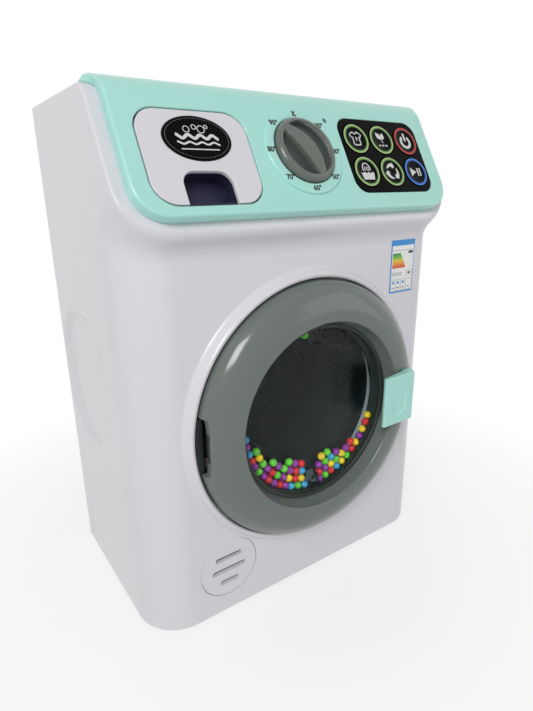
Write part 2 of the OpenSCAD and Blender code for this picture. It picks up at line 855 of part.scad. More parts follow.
// the tray, with a finger pocket in a cup that reaches down to the foot of the drawer's front
module drawer_tray() color(navy) on_slope(drawer_x, 0) {
    h = tray_low - tray_top;
    front_n = panel_proud - front_t;
    floor_y = -tray_low;
    side_w = (tray_w - cup_w) / 2 - 2 * tray_wall;
    difference() {
        union() {
            translate([-tray_w / 2, floor_y, front_n - tray_d]) cube([tray_w, h, tray_d]);
            translate([-cup_w / 2, foot_y, front_n - cup_deep])
                cube([cup_w, floor_y - foot_y + tray_wall, cup_deep]);
        }
        translate([-tray_w / 2 + tray_wall, floor_y + tray_wall, front_n - tray_d + tray_wall])
            cube([tray_w - 2 * tray_wall, h, tray_d - cup_deep - tray_wall]);
        for (side = [-1, 1]) translate([side * (tray_w / 2 - tray_wall - side_w / 2) - side_w / 2,
            floor_y + tray_wall, front_n - pocket_deep])
            cube([side_w, h, pocket_deep - tray_wall]);
        translate([0, foot_y, front_n]) hull() {
            linear_extrude(eps) arch(pocket_lip, 1);
            translate([0, 0, -pocket_deep]) linear_extrude(eps) arch(pocket_rise, arch_r - 1.5);
        }
    }
}

module drawer_badge() color(black) on_slope(drawer_x + 0.4, badge_drop)
    translate([0, 0, panel_proud]) oval_plate(badge_a, badge_b, 0.5);

// the tray's housing, with a flange behind the panel and a notch for the finger pocket's cup
module drawer_chute() color(charcoal) on_slope(drawer_x, 0) {
    in_w = tray_w + 2 * chute_gap;
    in_h = tray_low - tray_top + 2 * chute_gap;
    deep = plate_n + tray_d - panel_proud + front_t + 2;
    notch_n = panel_proud - front_t - cup_deep - chute_gap;
    edge = drawer_gap + flange_w;
    difference() {
        union() {
            translate([-in_w / 2 - chute_wall, -(tray_top + tray_low + in_h) / 2 - chute_wall, plate_n - deep])
                cube([in_w + 2 * chute_wall, in_h + 2 * chute_wall, deep]);
            translate([0, -drawer_drop, plate_n - chute_flange_t])
                plate(drawer_w + 2 * edge, drawer_h + 2 * edge, drawer_r + edge, chute_flange_t);
        }
        translate([-in_w / 2, -(tray_top + tray_low + in_h) / 2, plate_n - deep + chute_wall])
            cube([in_w, in_h, deep]);
        translate([-cup_w / 2 - chute_gap, foot_y - chute_gap, notch_n]) cube([cup_w + 2 * chute_gap, 10, far]);
    }
}

// ---- grille, speaker, boards and batteries ----

module speaker_grille() color(white) facing(grille_x, grille_z) difference() {
    union() {
        translate([0, 0, -wall]) cylinder(r = grille_r, h = wall);
        translate([0, 0, -wall - 1.2]) cylinder(r = grille_r + 1.7, h = 1.2);
    }
    for (i = [-1, 0, 1]) let (up = i * slot_pitch - 1.2, half = sqrt(pow(grille_r - 7.2, 2) - up * up))
        translate([0, up, -wall - 1.2 - eps]) plate(2 * half, slot_h, slot_h / 2 - 0.1, 6);
}

module speaker() color(charcoal) facing(grille_x, grille_z) translate([0, 0, -wall - 1.2]) {
    frame_t = 3;
    cone_deep = 6;
    magnet_r = 10;
    magnet_t = 6;
    translate([0, 0, -frame_t]) tube(grille_r + 1.7, grille_r - 2, frame_t);
    translate([0, 0, -frame_t - cone_deep])
        cylinder(r1 = magnet_r - 1, r2 = grille_r - 1.9, h = frame_t + cone_deep - 1);
    translate([0, 0, -frame_t - cone_deep - magnet_t]) cylinder(r = magnet_r, h = magnet_t + 0.5);
}

// the sticker follows the face, and curves with it towards the corner and the hood
module label_sticker() color("#3B8FCB") difference() {
    intersection() {
        placed() front_block(-label_t);
        facing(label_x, label_z) translate([0, 0, -wall]) plate(label_w, label_h, 0.8, 3 * wall);
    }
    placed() front_block(0);
}

module main_board() color("#2F6B3F") placed() {
    difference() {
        translate([-board_w / 2, board_y, board_z - board_h / 2]) cube([board_w, board_t, board_h]);
        at_board_holes() translate([0, 0, -board_t - eps]) cylinder(r = 1.2, h = board_t + 2 * eps);
    }
    translate([-9, board_y - 2.5, board_z - 6]) cube([18, 2.6, 12]);
    for (x = [-24, 20]) translate([x, board_y + 0.1, board_z + 8]) rotate([90, 0, 0])
        cylinder(r = 3.2, h = 8);
}

// local x left, y up, z out of the back, about the battery door's middle
module at_back() {
    translate([0, body_d, battery_z]) rotate([90, 0, 180]) children();
}

module at_hatch_screw() {
    at_back() translate([0, box_in_h / 2 + door_lip + tab_h / 2, 0]) children();
}

// the battery door's outline with its screw tab, between two planes measured out of the back
module hatch(shrink, low, high) at_back() translate([0, 0, low]) {
    edge = door_lip - shrink;
    plate(box_in_w + 2 * edge, box_in_h + 2 * edge, hatch_r, high - low);
    translate([shrink - tab_w / 2, 0, 0])
        cube([tab_w - 2 * shrink, box_in_h / 2 + edge + tab_h, high - low]);
}

module battery_box() color(black) placed() difference() {
    deep = body_d - wall - box_y;
    rim = box_wall - door_lip;
    at_back() {
        translate([0, 0, -wall - deep - box_wall])
            plate(box_in_w + 2 * box_wall, box_in_h + 2 * box_wall, 1, deep + box_wall);
        translate([-tab_w / 2 - rim, 0, -wall - tab_boss])
            cube([tab_w + 2 * rim, box_in_h / 2 + box_wall + tab_h, tab_boss]);
    }
    at_back() translate([-box_in_w / 2, -box_in_h / 2, -wall - deep]) cube([box_in_w, box_in_h, far]);
    at_hatch_screw() translate([0, 0, -wall - tab_boss + 1]) cylinder(r = post_hole_r, h = far);
}

function cell_z(i) = battery_z + (i - (cell_count - 1) / 2) * cell_pitch;

module battery_cells() color("#3F7F5A") placed() for (i = [0:cell_count - 1])
    translate([-box_in_w / 2 + 1, cell_y, cell_z(i)]) rotate([0, 90, 0]) {
        cylinder(r = cell_r, h = cell_len - 1);
        cylinder(r = 2.6, h = cell_len);
    }

module battery_contacts() color(steel) placed() for (i = [0:cell_count - 1]) {
    translate([-box_in_w / 2, cell_y - 6, cell_z(i) - 5]) cube([0.5, 12, 10]);
    translate([box_in_w / 2 - 0.5, cell_y - 6, cell_z(i) - 5]) cube([0.5, 12, 10]);
    translate([box_in_w / 2 - spring_len, cell_y, cell_z(i)]) rotate([0, 90, 0])
        wire(helix(3.5, 4, spring_len - 0.6), 0.4, 6);
}

module battery_door() color(white) placed() difference() {
    union() {
        hatch(gap, -wall, 0);
        for (side = [-1, 1]) at_back()
            translate([side * box_in_w / 4, 0, -wall - press_rib / 2 + 0.05])
                cube([4, box_in_h - 6, press_rib + 0.1], center = true);
    }
    at_hatch_screw() {
        translate([0, 0, -hatch_sunk]) cylinder(r = hatch_head_r + gap, h = wall);
        translate([0, 0, -wall - eps]) cylinder(r = screw_r + 0.2, h = 2 * wall);
    }
}

module battery_door_screw() color(steel) placed() at_hatch_screw() translate([0, 0, -hatch_sunk]) {
    cylinder(r = hatch_head_r, h = hatch_head_h);
    translate([0, 0, hatch_sunk - wall - tab_boss + 1.5])
        cylinder(r = screw_r, h = wall + tab_boss - hatch_sunk - 1.4);
}

module case_screws() color(steel) placed() for (side = [-1, 1]) for (z = post_zs)
    translate([side * post_x, shell_d + boss_floor, z]) rotate([90, 0, 0]) {
        cylinder(r = screw_r, h = boss_floor + screw_grip);
        translate([0, 0, -screw_head_h]) cylinder(r = screw_head_r, h = screw_head_h);
    }

module feet() color(black) placed() for (side = [-1, 1]) for (y = [front_r + 4, body_d - 22])
    translate([side * (half_w - foot_inset), y, -foot_h]) cylinder(r = foot_r, h = foot_h);

// ---- tub, drum and drive ----

// a ring profile of [radius, depth] points, turned about the drum's axis
module turned(points, n = 96) {
    facing() rotate_extrude($fn = n) polygon([for (p = points) [p[0], -p[1]]]);
}

module tub() color("#DADCDE") difference() {
    union() {
        turned([[tub_r, tub_y], [tub_flange_r, tub_y], [tub_flange_r, tub_y + 2],
            [tub_r + tub_wall, tub_y + 2], [tub_r + tub_wall, tub_end], [bush_r, tub_end],
            [bush_r, tub_end - tub_wall], [tub_r, tub_end - tub_wall]]);
        bracket_places() cylinder(r = bracket_post_r, h = plate_y - tub_end + 0.1);
    }
    bracket_places() translate([0, 0, 3]) cylinder(r = 1, h = far);
}

// the posts that carry the motor bracket, clear of the drive gear, facing the back
module bracket_places() {
    placed() for (x = [-bracket_reach, bracket_right]) for (z = [-bracket_reach, bracket_reach])
        translate([x, tub_end - 0.1, door_z + z]) rotate([-90, 0, 0]) children();
}

module tub_bush() color("#C9A24B") {
    turned([[shaft_r + run_fit, tub_end - tub_wall - 1], [bush_r, tub_end - tub_wall - 1],
        [bush_r, tub_end], [bush_flange_r, tub_end], [bush_flange_r, tub_end + bush_flange_t],
        [shaft_r + run_fit, tub_end + bush_flange_t]], 48);
}

module drum() color(charcoal) difference() {
    union() {
        turned([[drum_r - 5, drum_y], [drum_r - 1, drum_y], [drum_r, drum_y + 1], [drum_r, drum_end],
            [shaft_r, drum_end], [shaft_r, drum_end - 8], [14, drum_end - 8],
            [17, drum_end - 4 - drum_floor_t], [28, drum_end - 2 - drum_floor_t],
            [31, drum_end - drum_floor_t],
            [drum_r - drum_wall, drum_end - drum_floor_t], [drum_r - drum_wall, drum_y + drum_wall],
            [drum_r - 5, drum_y + drum_wall]]);
        for (i = [0:5]) facing() rotate([0, 0, 60 * i]) translate([44, 0, -drum_end + drum_floor_t - 0.2])
            rotate_extrude($fn = 40) polygon([[7.5, 0], [11, 0], [10, 1.6], [8.5, 1.6]]);
        for (i = [0:2]) facing() rotate([0, 0, 120 * i + 30])
            translate([drum_r - drum_wall - paddle_h, 0, -drum_end + 1]) rotate([0, 0, 0])
                linear_extrude(drum_len - 8) polygon([[0, -2], [paddle_h + 0.8, -6],
                    [paddle_h + 0.8, 6], [0, 2]]);
    }
}

module drum_shaft() color(steel) facing() translate([0, 0, -plate_y - plate_t])
    cylinder(r = shaft_r, h = plate_y + plate_t - drum_end + 8);

// one tooth as [height over the pitch circle in modules, place in its step]
tooth = [[-1.2, -0.36], [0, -0.23], [0.8, -0.12], [0.8, 0.12], [0, 0.23], [-1.2, 0.36]];

// a spur gear's outline, with straight-sided teeth backed off for running clearance
function gear_points(teeth, start = 0) = let (r = teeth * gear_m / 2, step = 360 / teeth)
    [for (i = [0:teeth - 1]) for (p = tooth) let (a = start + (i + p[1]) * step, d = r + p[0] * gear_m)
        [d * cos(a), d * sin(a)]];

module drive_gear() color("#E4E1D4") facing() translate([0, 0, -gear_y - gear_w]) difference() {
    linear_extrude(gear_w) polygon(gear_points(gear_teeth, motor_angle));
    translate([0, 0, -eps]) cylinder(r = shaft_r, h = gear_w + 2 * eps);
    for (i = [0:4]) rotate([0, 0, 72 * i]) translate([gear_teeth * gear_m * 0.29, 0, -eps])
        cylinder(r = gear_teeth * gear_m * 0.1, h = gear_w + 2 * eps);
}

// the pinion's gap, not a tooth, faces the drive gear
module pinion() color("#E4E1D4") facing() translate([motor_x, motor_z - door_z, -gear_y - gear_w])
    difference() {
        linear_extrude(gear_w)
            polygon(gear_points(pinion_teeth, motor_angle + 180 + 180 / pinion_teeth));
        translate([0, 0, -eps]) cylinder(r = motor_shaft_r, h = gear_w + 2 * eps);
    }

module motor_shaft() color(steel) placed() translate([motor_x, gear_y, motor_z])
    rotate([-90, 0, 0]) cylinder(r = motor_shaft_r, h = plate_y + plate_t + motor_len / 2 - gear_y);

module motor() color(steel) placed() translate([motor_x, plate_y + plate_t, motor_z])
    rotate([-90, 0, 0]) difference() {
        cylinder(r = motor_r, h = motor_len);
        translate([0, 0, -eps])
            cylinder(r = motor_shaft_r + run_fit, h = motor_len / 2 + 0.5 + eps);
    }

module motor_bracket() color("#DADCDE") difference() {
    low = motor_z - motor_r - 1;
    high = door_z + bracket_reach + bracket_edge;
    placed() translate([-bracket_reach - bracket_edge, plate_y, low])
        cube([bracket_reach + bracket_right + 2 * bracket_edge, plate_t, high - low]);
    facing() translate([0, 0, -far]) cylinder(r = shaft_r + run_fit, h = far);
    placed() translate([motor_x, plate_y - 1, motor_z]) rotate([-90, 0, 0])
        cylinder(r = motor_shaft_r + 1, h = plate_t + 2);
    bracket_places() cylinder(r = 1.2, h = far);
}

module bracket_screws() color(steel) bracket_places() translate([0, 0, plate_y - tub_end + 0.1]) {
    translate([0, 0, -4]) cylinder(r = 0.95, h = 4 + plate_t);
    translate([0, 0, plate_t]) cylinder(r = 2.2, h = 1.4);
}

// ---- door ----

// the ring's shoulder: a quarter ellipse from the skirt up to the face
function shoulder_curve(inset, n = 10) = [for (i = [0:n]) let (a = 90 * i / n)
    [door_r - shoulder + (shoulder - inset) * cos(a),
        shoulder_k + (ring_proud - shoulder_k - inset) * sin(a)]];

module door_ring() color(ring_grey) {
    difference() {
        union() {
            facing() rotate_extrude($fn = 128) polygon(concat(
                [[door_r - door_wall, skirt_k], [door_r, skirt_k]],
                shoulder_curve(0),
                [[port_r + 3.4, ring_proud], [port_r + 2.2, ring_proud - 0.8],
                    [port_r, lip_k + 0.6], [port_r, lip_k], [window_r + 0.6, lip_k],
                    [port_r + 4.2, ring_proud - door_wall]],
                [for (i = [10:-1:0]) shoulder_curve(door_wall)[i]]));
            facing() {
                for (a = door_post_angles) rotate([0, 0, a]) translate([post_ring_r, 0, liner_k])
                    cylinder(r = door_post_r, h = ring_proud - door_wall / 2 - liner_k);
                for (side = [-1, 1]) translate([-hinge_x, side * (ear_gap + ear_t / 2 + 0.3), hinge_k])
                    hinge_ear(ear_t - 0.6);
                for (side = [-1, 1])
                    translate([latch_pin_x - 3, side * (latch_h / 2 + latch_clear + 1.5) - 1.5, latch_pin_k - 3])
                        cube([6, 3, 4.6]);
            }
        }
        facing() {
            translate([-door_r - 6, -notch_h / 2, skirt_k - eps])
                cube([6 + door_wall + 1.7, notch_h, notch_k - skirt_k + eps]);
            translate([-hinge_x, 0, hinge_k]) rotate([90, 0, 0]) {
                cylinder(r = knuckle_r + 0.4, h = 2 * ear_gap, center = true);
                cylinder(r = hinge_pin_r + run_fit, h = 2 * (ear_gap + ear_t + 1), center = true);
            }
            translate([port_r + 2.9, -latch_h / 2 - latch_clear, 2])
                cube([latch_pin_x + latch_heel + 0.5 - port_r - 2.9, latch_h + 2 * latch_clear, 30]);
            translate([latch_pin_x, 0, latch_pin_k]) rotate([90, 0, 0])
                cylinder(r = latch_pin_r, h = latch_h + 8, center = true);
            for (a = door_post_angles) rotate([0, 0, a]) translate([post_ring_r, 0, skirt_k])
                cylinder(r = 1.1, h = 9);
        }
    }
}

module hinge_ear(t) {
    rotate([90, 0, 0]) cylinder(r = knuckle_r, h = t, center = true);
    translate([0, 0, 2]) cube([4.4, t, 4], center = true);
}

module door_liner() color("#8A918B") facing() difference() {
    rotate_extrude($fn = 128) polygon([[chamber_r, tube_k], [tube_r, tube_k], [tube_r, skirt_k],
        [liner_r, skirt_k], [liner_r, liner_k], [tube_r, liner_k], [tube_r, window_k],
        [chamber_r, window_k]]);
    for (a = door_post_angles) rotate([0, 0, a]) translate([post_ring_r, 0, skirt_k - eps]) {
        cylinder(r = 1.5, h = 9);
        cylinder(r = 2.9, h = eps + 1);
    }
    translate([-door_r - 2, -notch_h / 2, 0]) cube([14.5, notch_h, 4]);
    translate([post_ring_r - 5, -latch_h / 2 + 5, 0]) cube([20, latch_h - 10, 4]);
}

module door_screws() color(steel) facing() for (a = door_post_angles) rotate([0, 0, a])
    translate([post_ring_r, 0, skirt_k]) {
        cylinder(r = 2.6, h = 1);
        cylinder(r = 1.05, h = 8);
    }

module outer_window() color([0.75, 0.82, 0.85, 0.4]) facing() translate([0, 0, window_k])
    cylinder(r = window_r, h = window_t, $fn = 128);

module inner_window() color([0.75, 0.82, 0.85, 0.4]) facing() {
    translate([0, 0, tube_k]) cylinder(r = chamber_r, h = inner_window_t, $fn = 128);
    for (side = [0, 180]) rotate([0, 0, side]) translate([0, chamber_r - 0.4, inner_window_k - 0.1])
        linear_extrude(window_k - inner_window_k + 0.1)
            polygon([[-4, 0], [-2.4, -rib_len], [2.4, -rib_len], [4, 0]]);
}

module door_gasket() color(black) facing() rotate_extrude($fn = 128)
    polygon([[port_r - 2.4, window_k + window_t], [window_r, window_k + window_t],
        [window_r, lip_k], [port_r - 0.3, lip_k], [port_r - 0.6, lip_k + 0.7],
        [port_r - 2.1, lip_k + 0.7], [port_r - 2.4, lip_k]]);

// loose beads in rows up the chamber's wall: [row, first angle, last angle]
bead_rows = [[0, 186, 262], [0, 278, 342], [1, 205, 261], [1, 279, 330], [2, 222, 259], [2, 282, 308]];
module beads() color("#D8202C") facing() for (row = bead_rows) {
    ring = chamber_r - bead_r - 0.3 - row[0] * (2 * bead_r + 0.2);
    step = 2 * asin((bead_r + 0.1) / ring);
    for (a = [row[1]:step:row[2]]) rotate([0, 0, a])
        translate([ring, 0, (inner_window_k + window_k) / 2]) sphere(r = bead_r, $fn = 24);
}

// ---- hinge and latch ----

module bracket_place() translate([bracket_x, 0, -well_deep - wall / 2]) children();
module catch_place() translate([catch_x, 0, -well_deep - wall / 2]) children();

module hinge_bracket() color(charcoal) facing() difference() {
    union() {
        bracket_place() cube([bracket_w, bracket_h, wall], center = true);
        hinge_guard();
        translate([-hinge_x - 0.5, -ear_gap + 0.2, -well_deep - wall / 2])
            cube([4.5, 2 * ear_gap - 0.4, well_deep + wall / 2 + hinge_k]);
        translate([-hinge_x, 0, hinge_k]) rotate([90, 0, 0])
            cylinder(r = knuckle_r, h = 2 * ear_gap - 0.4, center = true);
    }
    translate([-hinge_x, 0, hinge_k]) rotate([90, 0, 0])
        cylinder(r = hinge_pin_r + run_fit, h = 2 * ear_gap, center = true);
}

// a curved wall beside the hinge, in front of the collar's inside
module hinge_guard() {
    intersection() {
        translate([0, 0, -well_deep]) cylinder(r = hole_r - gap, h = well_deep + guard_k, $fn = 128);
        translate([guard_x - far, -guard_h / 2, -well_deep]) cube([far, guard_h, far]);
    }
    translate([guard_x - 1, -bracket_h / 2 + 0.2, -well_deep - 1]) cube([1, bracket_h - 0.4, 2]);
}

module hinge_pin() color(steel) facing() translate([-hinge_x, 0, hinge_k]) rotate([90, 0, 0])
    cylinder(r = hinge_pin_r, h = 2 * (ear_gap + ear_t), center = true);

module latch_catch() color(black) facing() catch_place() difference() {
    cube([catch_w, catch_h, wall], center = true);
    cube([catch_w - 3, catch_h - 4, wall + 2 * eps], center = true);
}

module latch_pin() color(steel) facing() translate([latch_pin_x, 0, latch_pin_k]) rotate([90, 0, 0])
    cylinder(r = latch_pin_r, h = latch_h + 6, center = true);

module latch_spring() color(steel) facing() translate([latch_pin_x, spring_y, latch_pin_k])
    rotate([-90, 0, 0]) wire(helix(2, 6, 6), 0.35, 6);

// the latch's side view, as [sideways, forward] points: a thin lip that overhangs the window's
// edge, thickening to the heel that carries its pin
module latch_lever() color("#9FD3C6") facing() difference() {
    x1 = latch_x0 + latch_w;
    top = latch_proud;
    union() {
        translate([0, latch_h / 2, 0]) rotate([90, 0, 0]) linear_extrude(latch_h) polygon([
            [latch_x0, top - 2.4], [latch_x0, top - 0.8], [latch_x0 + 0.8, top],
            [x1 - 0.8, top], [x1 + 0.4, top - 0.8], [latch_pin_x + latch_heel, latch_pin_k - 1],
            [latch_pin_x + 2, latch_pin_k - 2.6], [latch_pin_x - 2, latch_pin_k - 2.6],
            [latch_pin_x - 8, top - 5.8], [latch_pin_x - 12.5, top - 5]]);
        translate([0, 5, 0]) rotate([90, 0, 0]) linear_extrude(10) polygon([
            [latch_pin_x - 1, latch_pin_k - 2], [latch_pin_x + 2, latch_pin_k - 2],
            [latch_pin_x + 2, hook_k + 1.4], [latch_pin_x + 4.2, hook_k + 0.7],
            [latch_pin_x + 4.2, hook_k], [latch_pin_x - 1, hook_k]]);
    }
    translate([latch_pin_x, 0, latch_pin_k]) rotate([90, 0, 0])
        cylinder(r = latch_pin_r + run_fit, h = latch_h + 2, center = true);
    translate([latch_pin_x - 4, spring_y - 0.8, latch_pin_k - 6]) cube([12, 7.6, 9.5]);
    translate([latch_x0 + latch_w / 2, 0, top]) linear_extrude(2, center = true)
        polygon(oval(6.5, 10.5));
}

front_shell();
rear_cover();
control_panel();
dial_plate();
key_bezel();
key_mat();
keypad_board();
drawer_chute();
knob_switch();
indicator_lens();
label_sticker();
speaker_grille();
speaker();
main_board();
battery_box();
battery_cells();
battery_contacts();
battery_door();
battery_door_screw();
tub();
tub_bush();
motor_bracket();
motor();
hinge_bracket();
latch_catch();
case_screws();
panel_screws();
bracket_screws();
board_screws();
feet();
door_ring();
door_liner();
outer_window();
inner_window();
door_gasket();
beads();
door_screws();
hinge_pin();
latch_pin();
latch_spring();
latch_lever();
drawer_front();
drawer_tray();
drawer_badge();
program_knob();
knob_shaft();
key_shirt();
key_leaf();
key_power();
key_basin();
key_cycle();
key_play();
drum();
drum_shaft();
drive_gear();
motor_shaft();
pinion();
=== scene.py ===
import json
import math

import bmesh
import bpy
import numpy as np
from mathutils import Matrix, Vector

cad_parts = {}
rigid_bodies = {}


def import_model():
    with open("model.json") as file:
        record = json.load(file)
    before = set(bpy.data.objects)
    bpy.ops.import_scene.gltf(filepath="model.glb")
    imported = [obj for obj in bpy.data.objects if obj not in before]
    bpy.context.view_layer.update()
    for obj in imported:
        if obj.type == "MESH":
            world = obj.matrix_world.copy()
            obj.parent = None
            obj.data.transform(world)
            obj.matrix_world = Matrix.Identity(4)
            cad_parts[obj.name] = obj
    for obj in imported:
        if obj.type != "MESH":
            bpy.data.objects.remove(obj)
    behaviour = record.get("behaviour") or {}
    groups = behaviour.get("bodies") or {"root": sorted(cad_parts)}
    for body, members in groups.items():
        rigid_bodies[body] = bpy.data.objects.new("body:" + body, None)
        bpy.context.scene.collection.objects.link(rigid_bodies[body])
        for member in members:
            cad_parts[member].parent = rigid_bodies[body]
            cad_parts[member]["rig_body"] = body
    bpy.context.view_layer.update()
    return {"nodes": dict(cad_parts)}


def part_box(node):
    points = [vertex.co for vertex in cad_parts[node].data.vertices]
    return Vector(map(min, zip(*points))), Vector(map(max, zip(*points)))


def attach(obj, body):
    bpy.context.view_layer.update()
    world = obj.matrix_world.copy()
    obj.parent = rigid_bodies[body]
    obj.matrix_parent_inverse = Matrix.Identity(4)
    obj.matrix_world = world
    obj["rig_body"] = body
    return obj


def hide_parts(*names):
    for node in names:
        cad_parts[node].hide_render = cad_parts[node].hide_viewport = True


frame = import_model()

mm = 0.001
bodyNodes = frame["nodes"]
print("frame loaded:", len(bodyNodes), "nodes")

# Where things are, in mm. The shell's own axes have the front face at y = 0 and the underside at z = 0.
layout = {
    "halfWidth": 105.0, "height": 281.0, "depth": 123.5, "seam": 77.5, "wall": 2.2,
    "tilt": math.radians(29.5), "rimY": 28.0, "hoodLength": 72.4,
    "frontRadius": 25.0, "topRadius": 1.5, "turnRadius": 11.0, "lipRadius": 22.0, "lipBlend": 6.0,
    "coveBlend": 16.0, "baseRound": 1.5, "backRadius": 5.0, "doorZ": 113.5, "panelProud": 6.5,
}
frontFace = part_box("rear_cover")[1].y / mm - layout["depth"]
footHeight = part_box("front_shell")[0].z / mm
leanSin, leanCos = math.sin(layout["tilt"]), math.cos(layout["tilt"])


# ---------- places ----------

def stack(*parts):  # coordinates of any matching shapes, joined on a last axis
    return np.stack(np.broadcast_arrays(*[np.asarray(p, float) for p in parts]), axis=-1)


def shellPoint(x, y, z):  # shell axes to the frame, in metres
    return stack(x, np.asarray(y, float) + frontFace, np.asarray(z, float) + footHeight) * mm


def facing(x, z, k):  # x right, z up from the door's centre, k forward of the front face
    return shellPoint(x, -np.asarray(k, float), np.asarray(z, float) + layout["doorZ"])


def onSlope(x, drop, n):  # x right, drop down the sloping face from its top edge, n out of it
    drop, n = np.asarray(drop, float), np.asarray(n, float)
    return shellPoint(x, layout["rimY"] - drop * leanSin - n * leanCos,
                      layout["height"] - drop * leanCos + n * leanSin)


def slopeAround(centreX, centreDrop):  # places about a piece's own middle, y up the slope
    return lambda x, y, n: onSlope(centreX + np.asarray(x, float), centreDrop - np.asarray(y, float), n)


# ---------- meshes ----------

def gridFaces(rows, cols, wrapRows=False, wrapCols=False):  # quads between neighbours of a rows x cols grid
    i, j = np.meshgrid(np.arange(rows if wrapRows else rows - 1),
                       np.arange(cols if wrapCols else cols - 1), indexing="ij")
    up, right = (i + 1) % rows, (j + 1) % cols
    return np.stack([i * cols + j, i * cols + right, up * cols + right, up * cols + j], -1).reshape(-1, 4)


def newPiece(name, points, faces, material, sharp=32):
    mesh = bpy.data.meshes.new(name)
    mesh.from_pydata(np.asarray(points, float).reshape(-1, 3).tolist(), [],
                     [list(map(int, f)) for f in faces])
    piece = bpy.data.objects.new(name, mesh)
    bpy.context.scene.collection.objects.link(piece)
    mesh.materials.append(material)
    tidyMesh(piece, sharp)
    return piece


def tidyMesh(piece, sharp=32):  # merges doubles, turns faces outwards and shades smooth up to an angle
    work = bmesh.new()
    work.from_mesh(piece.data)
    bmesh.ops.remove_doubles(work, verts=work.verts, dist=2e-6)
    bmesh.ops.dissolve_degenerate(work, edges=work.edges, dist=1e-7)
    bmesh.ops.recalc_face_normals(work, faces=work.faces)
    work.to_mesh(piece.data)
    work.free()
    piece.data.shade_smooth()
    piece.data.set_sharp_from_angle(angle=math.radians(sharp))


def lathe(name, place, profile, material, steps=160, closed=True, sharp=32):
    # a profile of (radius, height) pairs turned about the place's own axis
    profile = np.asarray(profile, float)
    turn = np.linspace(0, 2 * np.pi, steps, endpoint=False)
    radius, height = profile[:, 0][:, None], profile[:, 1][:, None]
    points = place(radius * np.cos(turn), radius * np.sin(turn), height + 0 * turn)
    return newPiece(name, points, gridFaces(len(profile), steps, closed, True), material, sharp)


def slab(name, place, outline, levels, material, sharp=32):
    # outline(inset) gives a closed loop; levels lists (inset, height) from the back cap to the front cap
    loops = [place(loop[:, 0], loop[:, 1], h) for loop, h in ((outline(i), h) for i, h in levels)]
    count = len(loops[0])
    faces = gridFaces(len(loops), count, False, True).tolist()
    faces += [list(range(count)), list(range(len(loops) * count - count, len(loops) * count))]
    return newPiece(name, np.array(loops), faces, material, sharp)


def roundedBox(width, height, low, high=None, steps=10):  # outline(inset), corners kept round
    high = low if high is None else high

    def outline(inset):
        turn = np.linspace(0, np.pi / 2, steps)
        loop = []
        for sx, sy, r, start in ((1, -1, low, -90), (1, 1, high, 0), (-1, 1, high, 90), (-1, -1, low, 180)):
            rr = max(r - inset, 0.05)
            a = turn + math.radians(start)
            loop.append(np.stack([sx * (width / 2 - inset - rr) + rr * np.cos(a),
                                  sy * (height / 2 - inset - rr) + rr * np.sin(a)], -1))
        return np.concatenate(loop)
    return outline


def ovalOutline(a, b, steps=96):
    turn = np.linspace(0, 2 * np.pi, steps, endpoint=False)
    return lambda inset: np.stack([(a - inset) * np.cos(turn), (b - inset) * np.sin(turn)], -1)


def roundEdge(back, front, radius, steps=6):
    # levels of a plate whose front edge is a quarter round, with a flat margin that keeps the face true
    turn = np.linspace(0, np.pi / 2, steps)
    levels = [(radius * (1 - math.cos(t)), front - radius + radius * math.sin(t)) for t in turn]
    return [(0.4, back), (0.0, back)] + levels + [(radius + 0.4, front)]


def joinPieces(name, pieces):
    base = pieces[0]
    with bpy.context.temp_override(active_object=base, selected_editable_objects=pieces, object=base):
        bpy.ops.object.join()
    base.name = base.data.name = name
    return base


def cutAway(piece, *cutters, sharp=32):  # takes the cutters' shapes out of the piece
    cutter = joinPieces("cutter", list(cutters)) if len(cutters) > 1 else cutters[0]
    change = piece.modifiers.new("cut", "BOOLEAN")
    change.operation, change.solver, change.object = "DIFFERENCE", "EXACT", cutter
    applyModifiers(piece)
    bpy.data.objects.remove(cutter)
    tidyShading(piece, sharp)


def applyModifiers(piece):
    made = bpy.data.meshes.new_from_object(piece.evaluated_get(bpy.context.evaluated_depsgraph_get()))
    piece.modifiers.clear()
    old, piece.data = piece.data, made
    made.name = piece.name
    bpy.data.meshes.remove(old)


def tidyShading(piece, sharp=32):
    piece.data.shade_smooth()
    piece.data.set_sharp_from_angle(angle=math.radians(sharp))
    flat = piece.modifiers.new("flatFaces", "WEIGHTED_NORMAL")
    flat.keep_sharp = True
    applyModifiers(piece)


def bevel(piece, width, segments, **settings):  # rounds edges to a width in mm
    soft = piece.modifiers.new("soft", "BEVEL")
    soft.width, soft.segments = width * mm, segments
    for key, value in settings.items():
        setattr(soft, key, value)
    applyModifiers(piece)


def softenEdges(piece, width):  # a small round on every hard edge
    bevel(piece, width, 3, limit_method="ANGLE", angle_limit=math.radians(35), use_clamp_overlap=True,
          miter_outer="MITER_ARC")
    tidyShading(piece, 40)


def smoothCopy(node, name, material, soften=0.0):  # a CAD node's own shape, merged and shaded smooth
    piece = bpy.data.objects.new(name, bodyNodes[node].data.copy())
    bpy.context.scene.collection.objects.link(piece)
    piece.data.materials.clear()
    piece.data.materials.append(material)
    work = bmesh.new()
    work.from_mesh(piece.data)
    bmesh.ops.remove_doubles(work, verts=work.verts, dist=2e-6)
    bmesh.ops.dissolve_limit(work, angle_limit=math.radians(0.5), verts=work.verts, edges=work.edges)
    work.to_mesh(piece.data)
    work.free()
    piece.data.polygons.foreach_set("material_index", np.zeros(len(piece.data.polygons), int))
    if soften:
        softenEdges(piece, soften)
    else:
        tidyShading(piece)
    return piece


def place(piece, body, slot, *nodes):  # rides on a body, and stands for CAD nodes, which it hides
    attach(piece, body)
    for node in nodes:
        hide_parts(node)
    return piece


# ---------- materials ----------

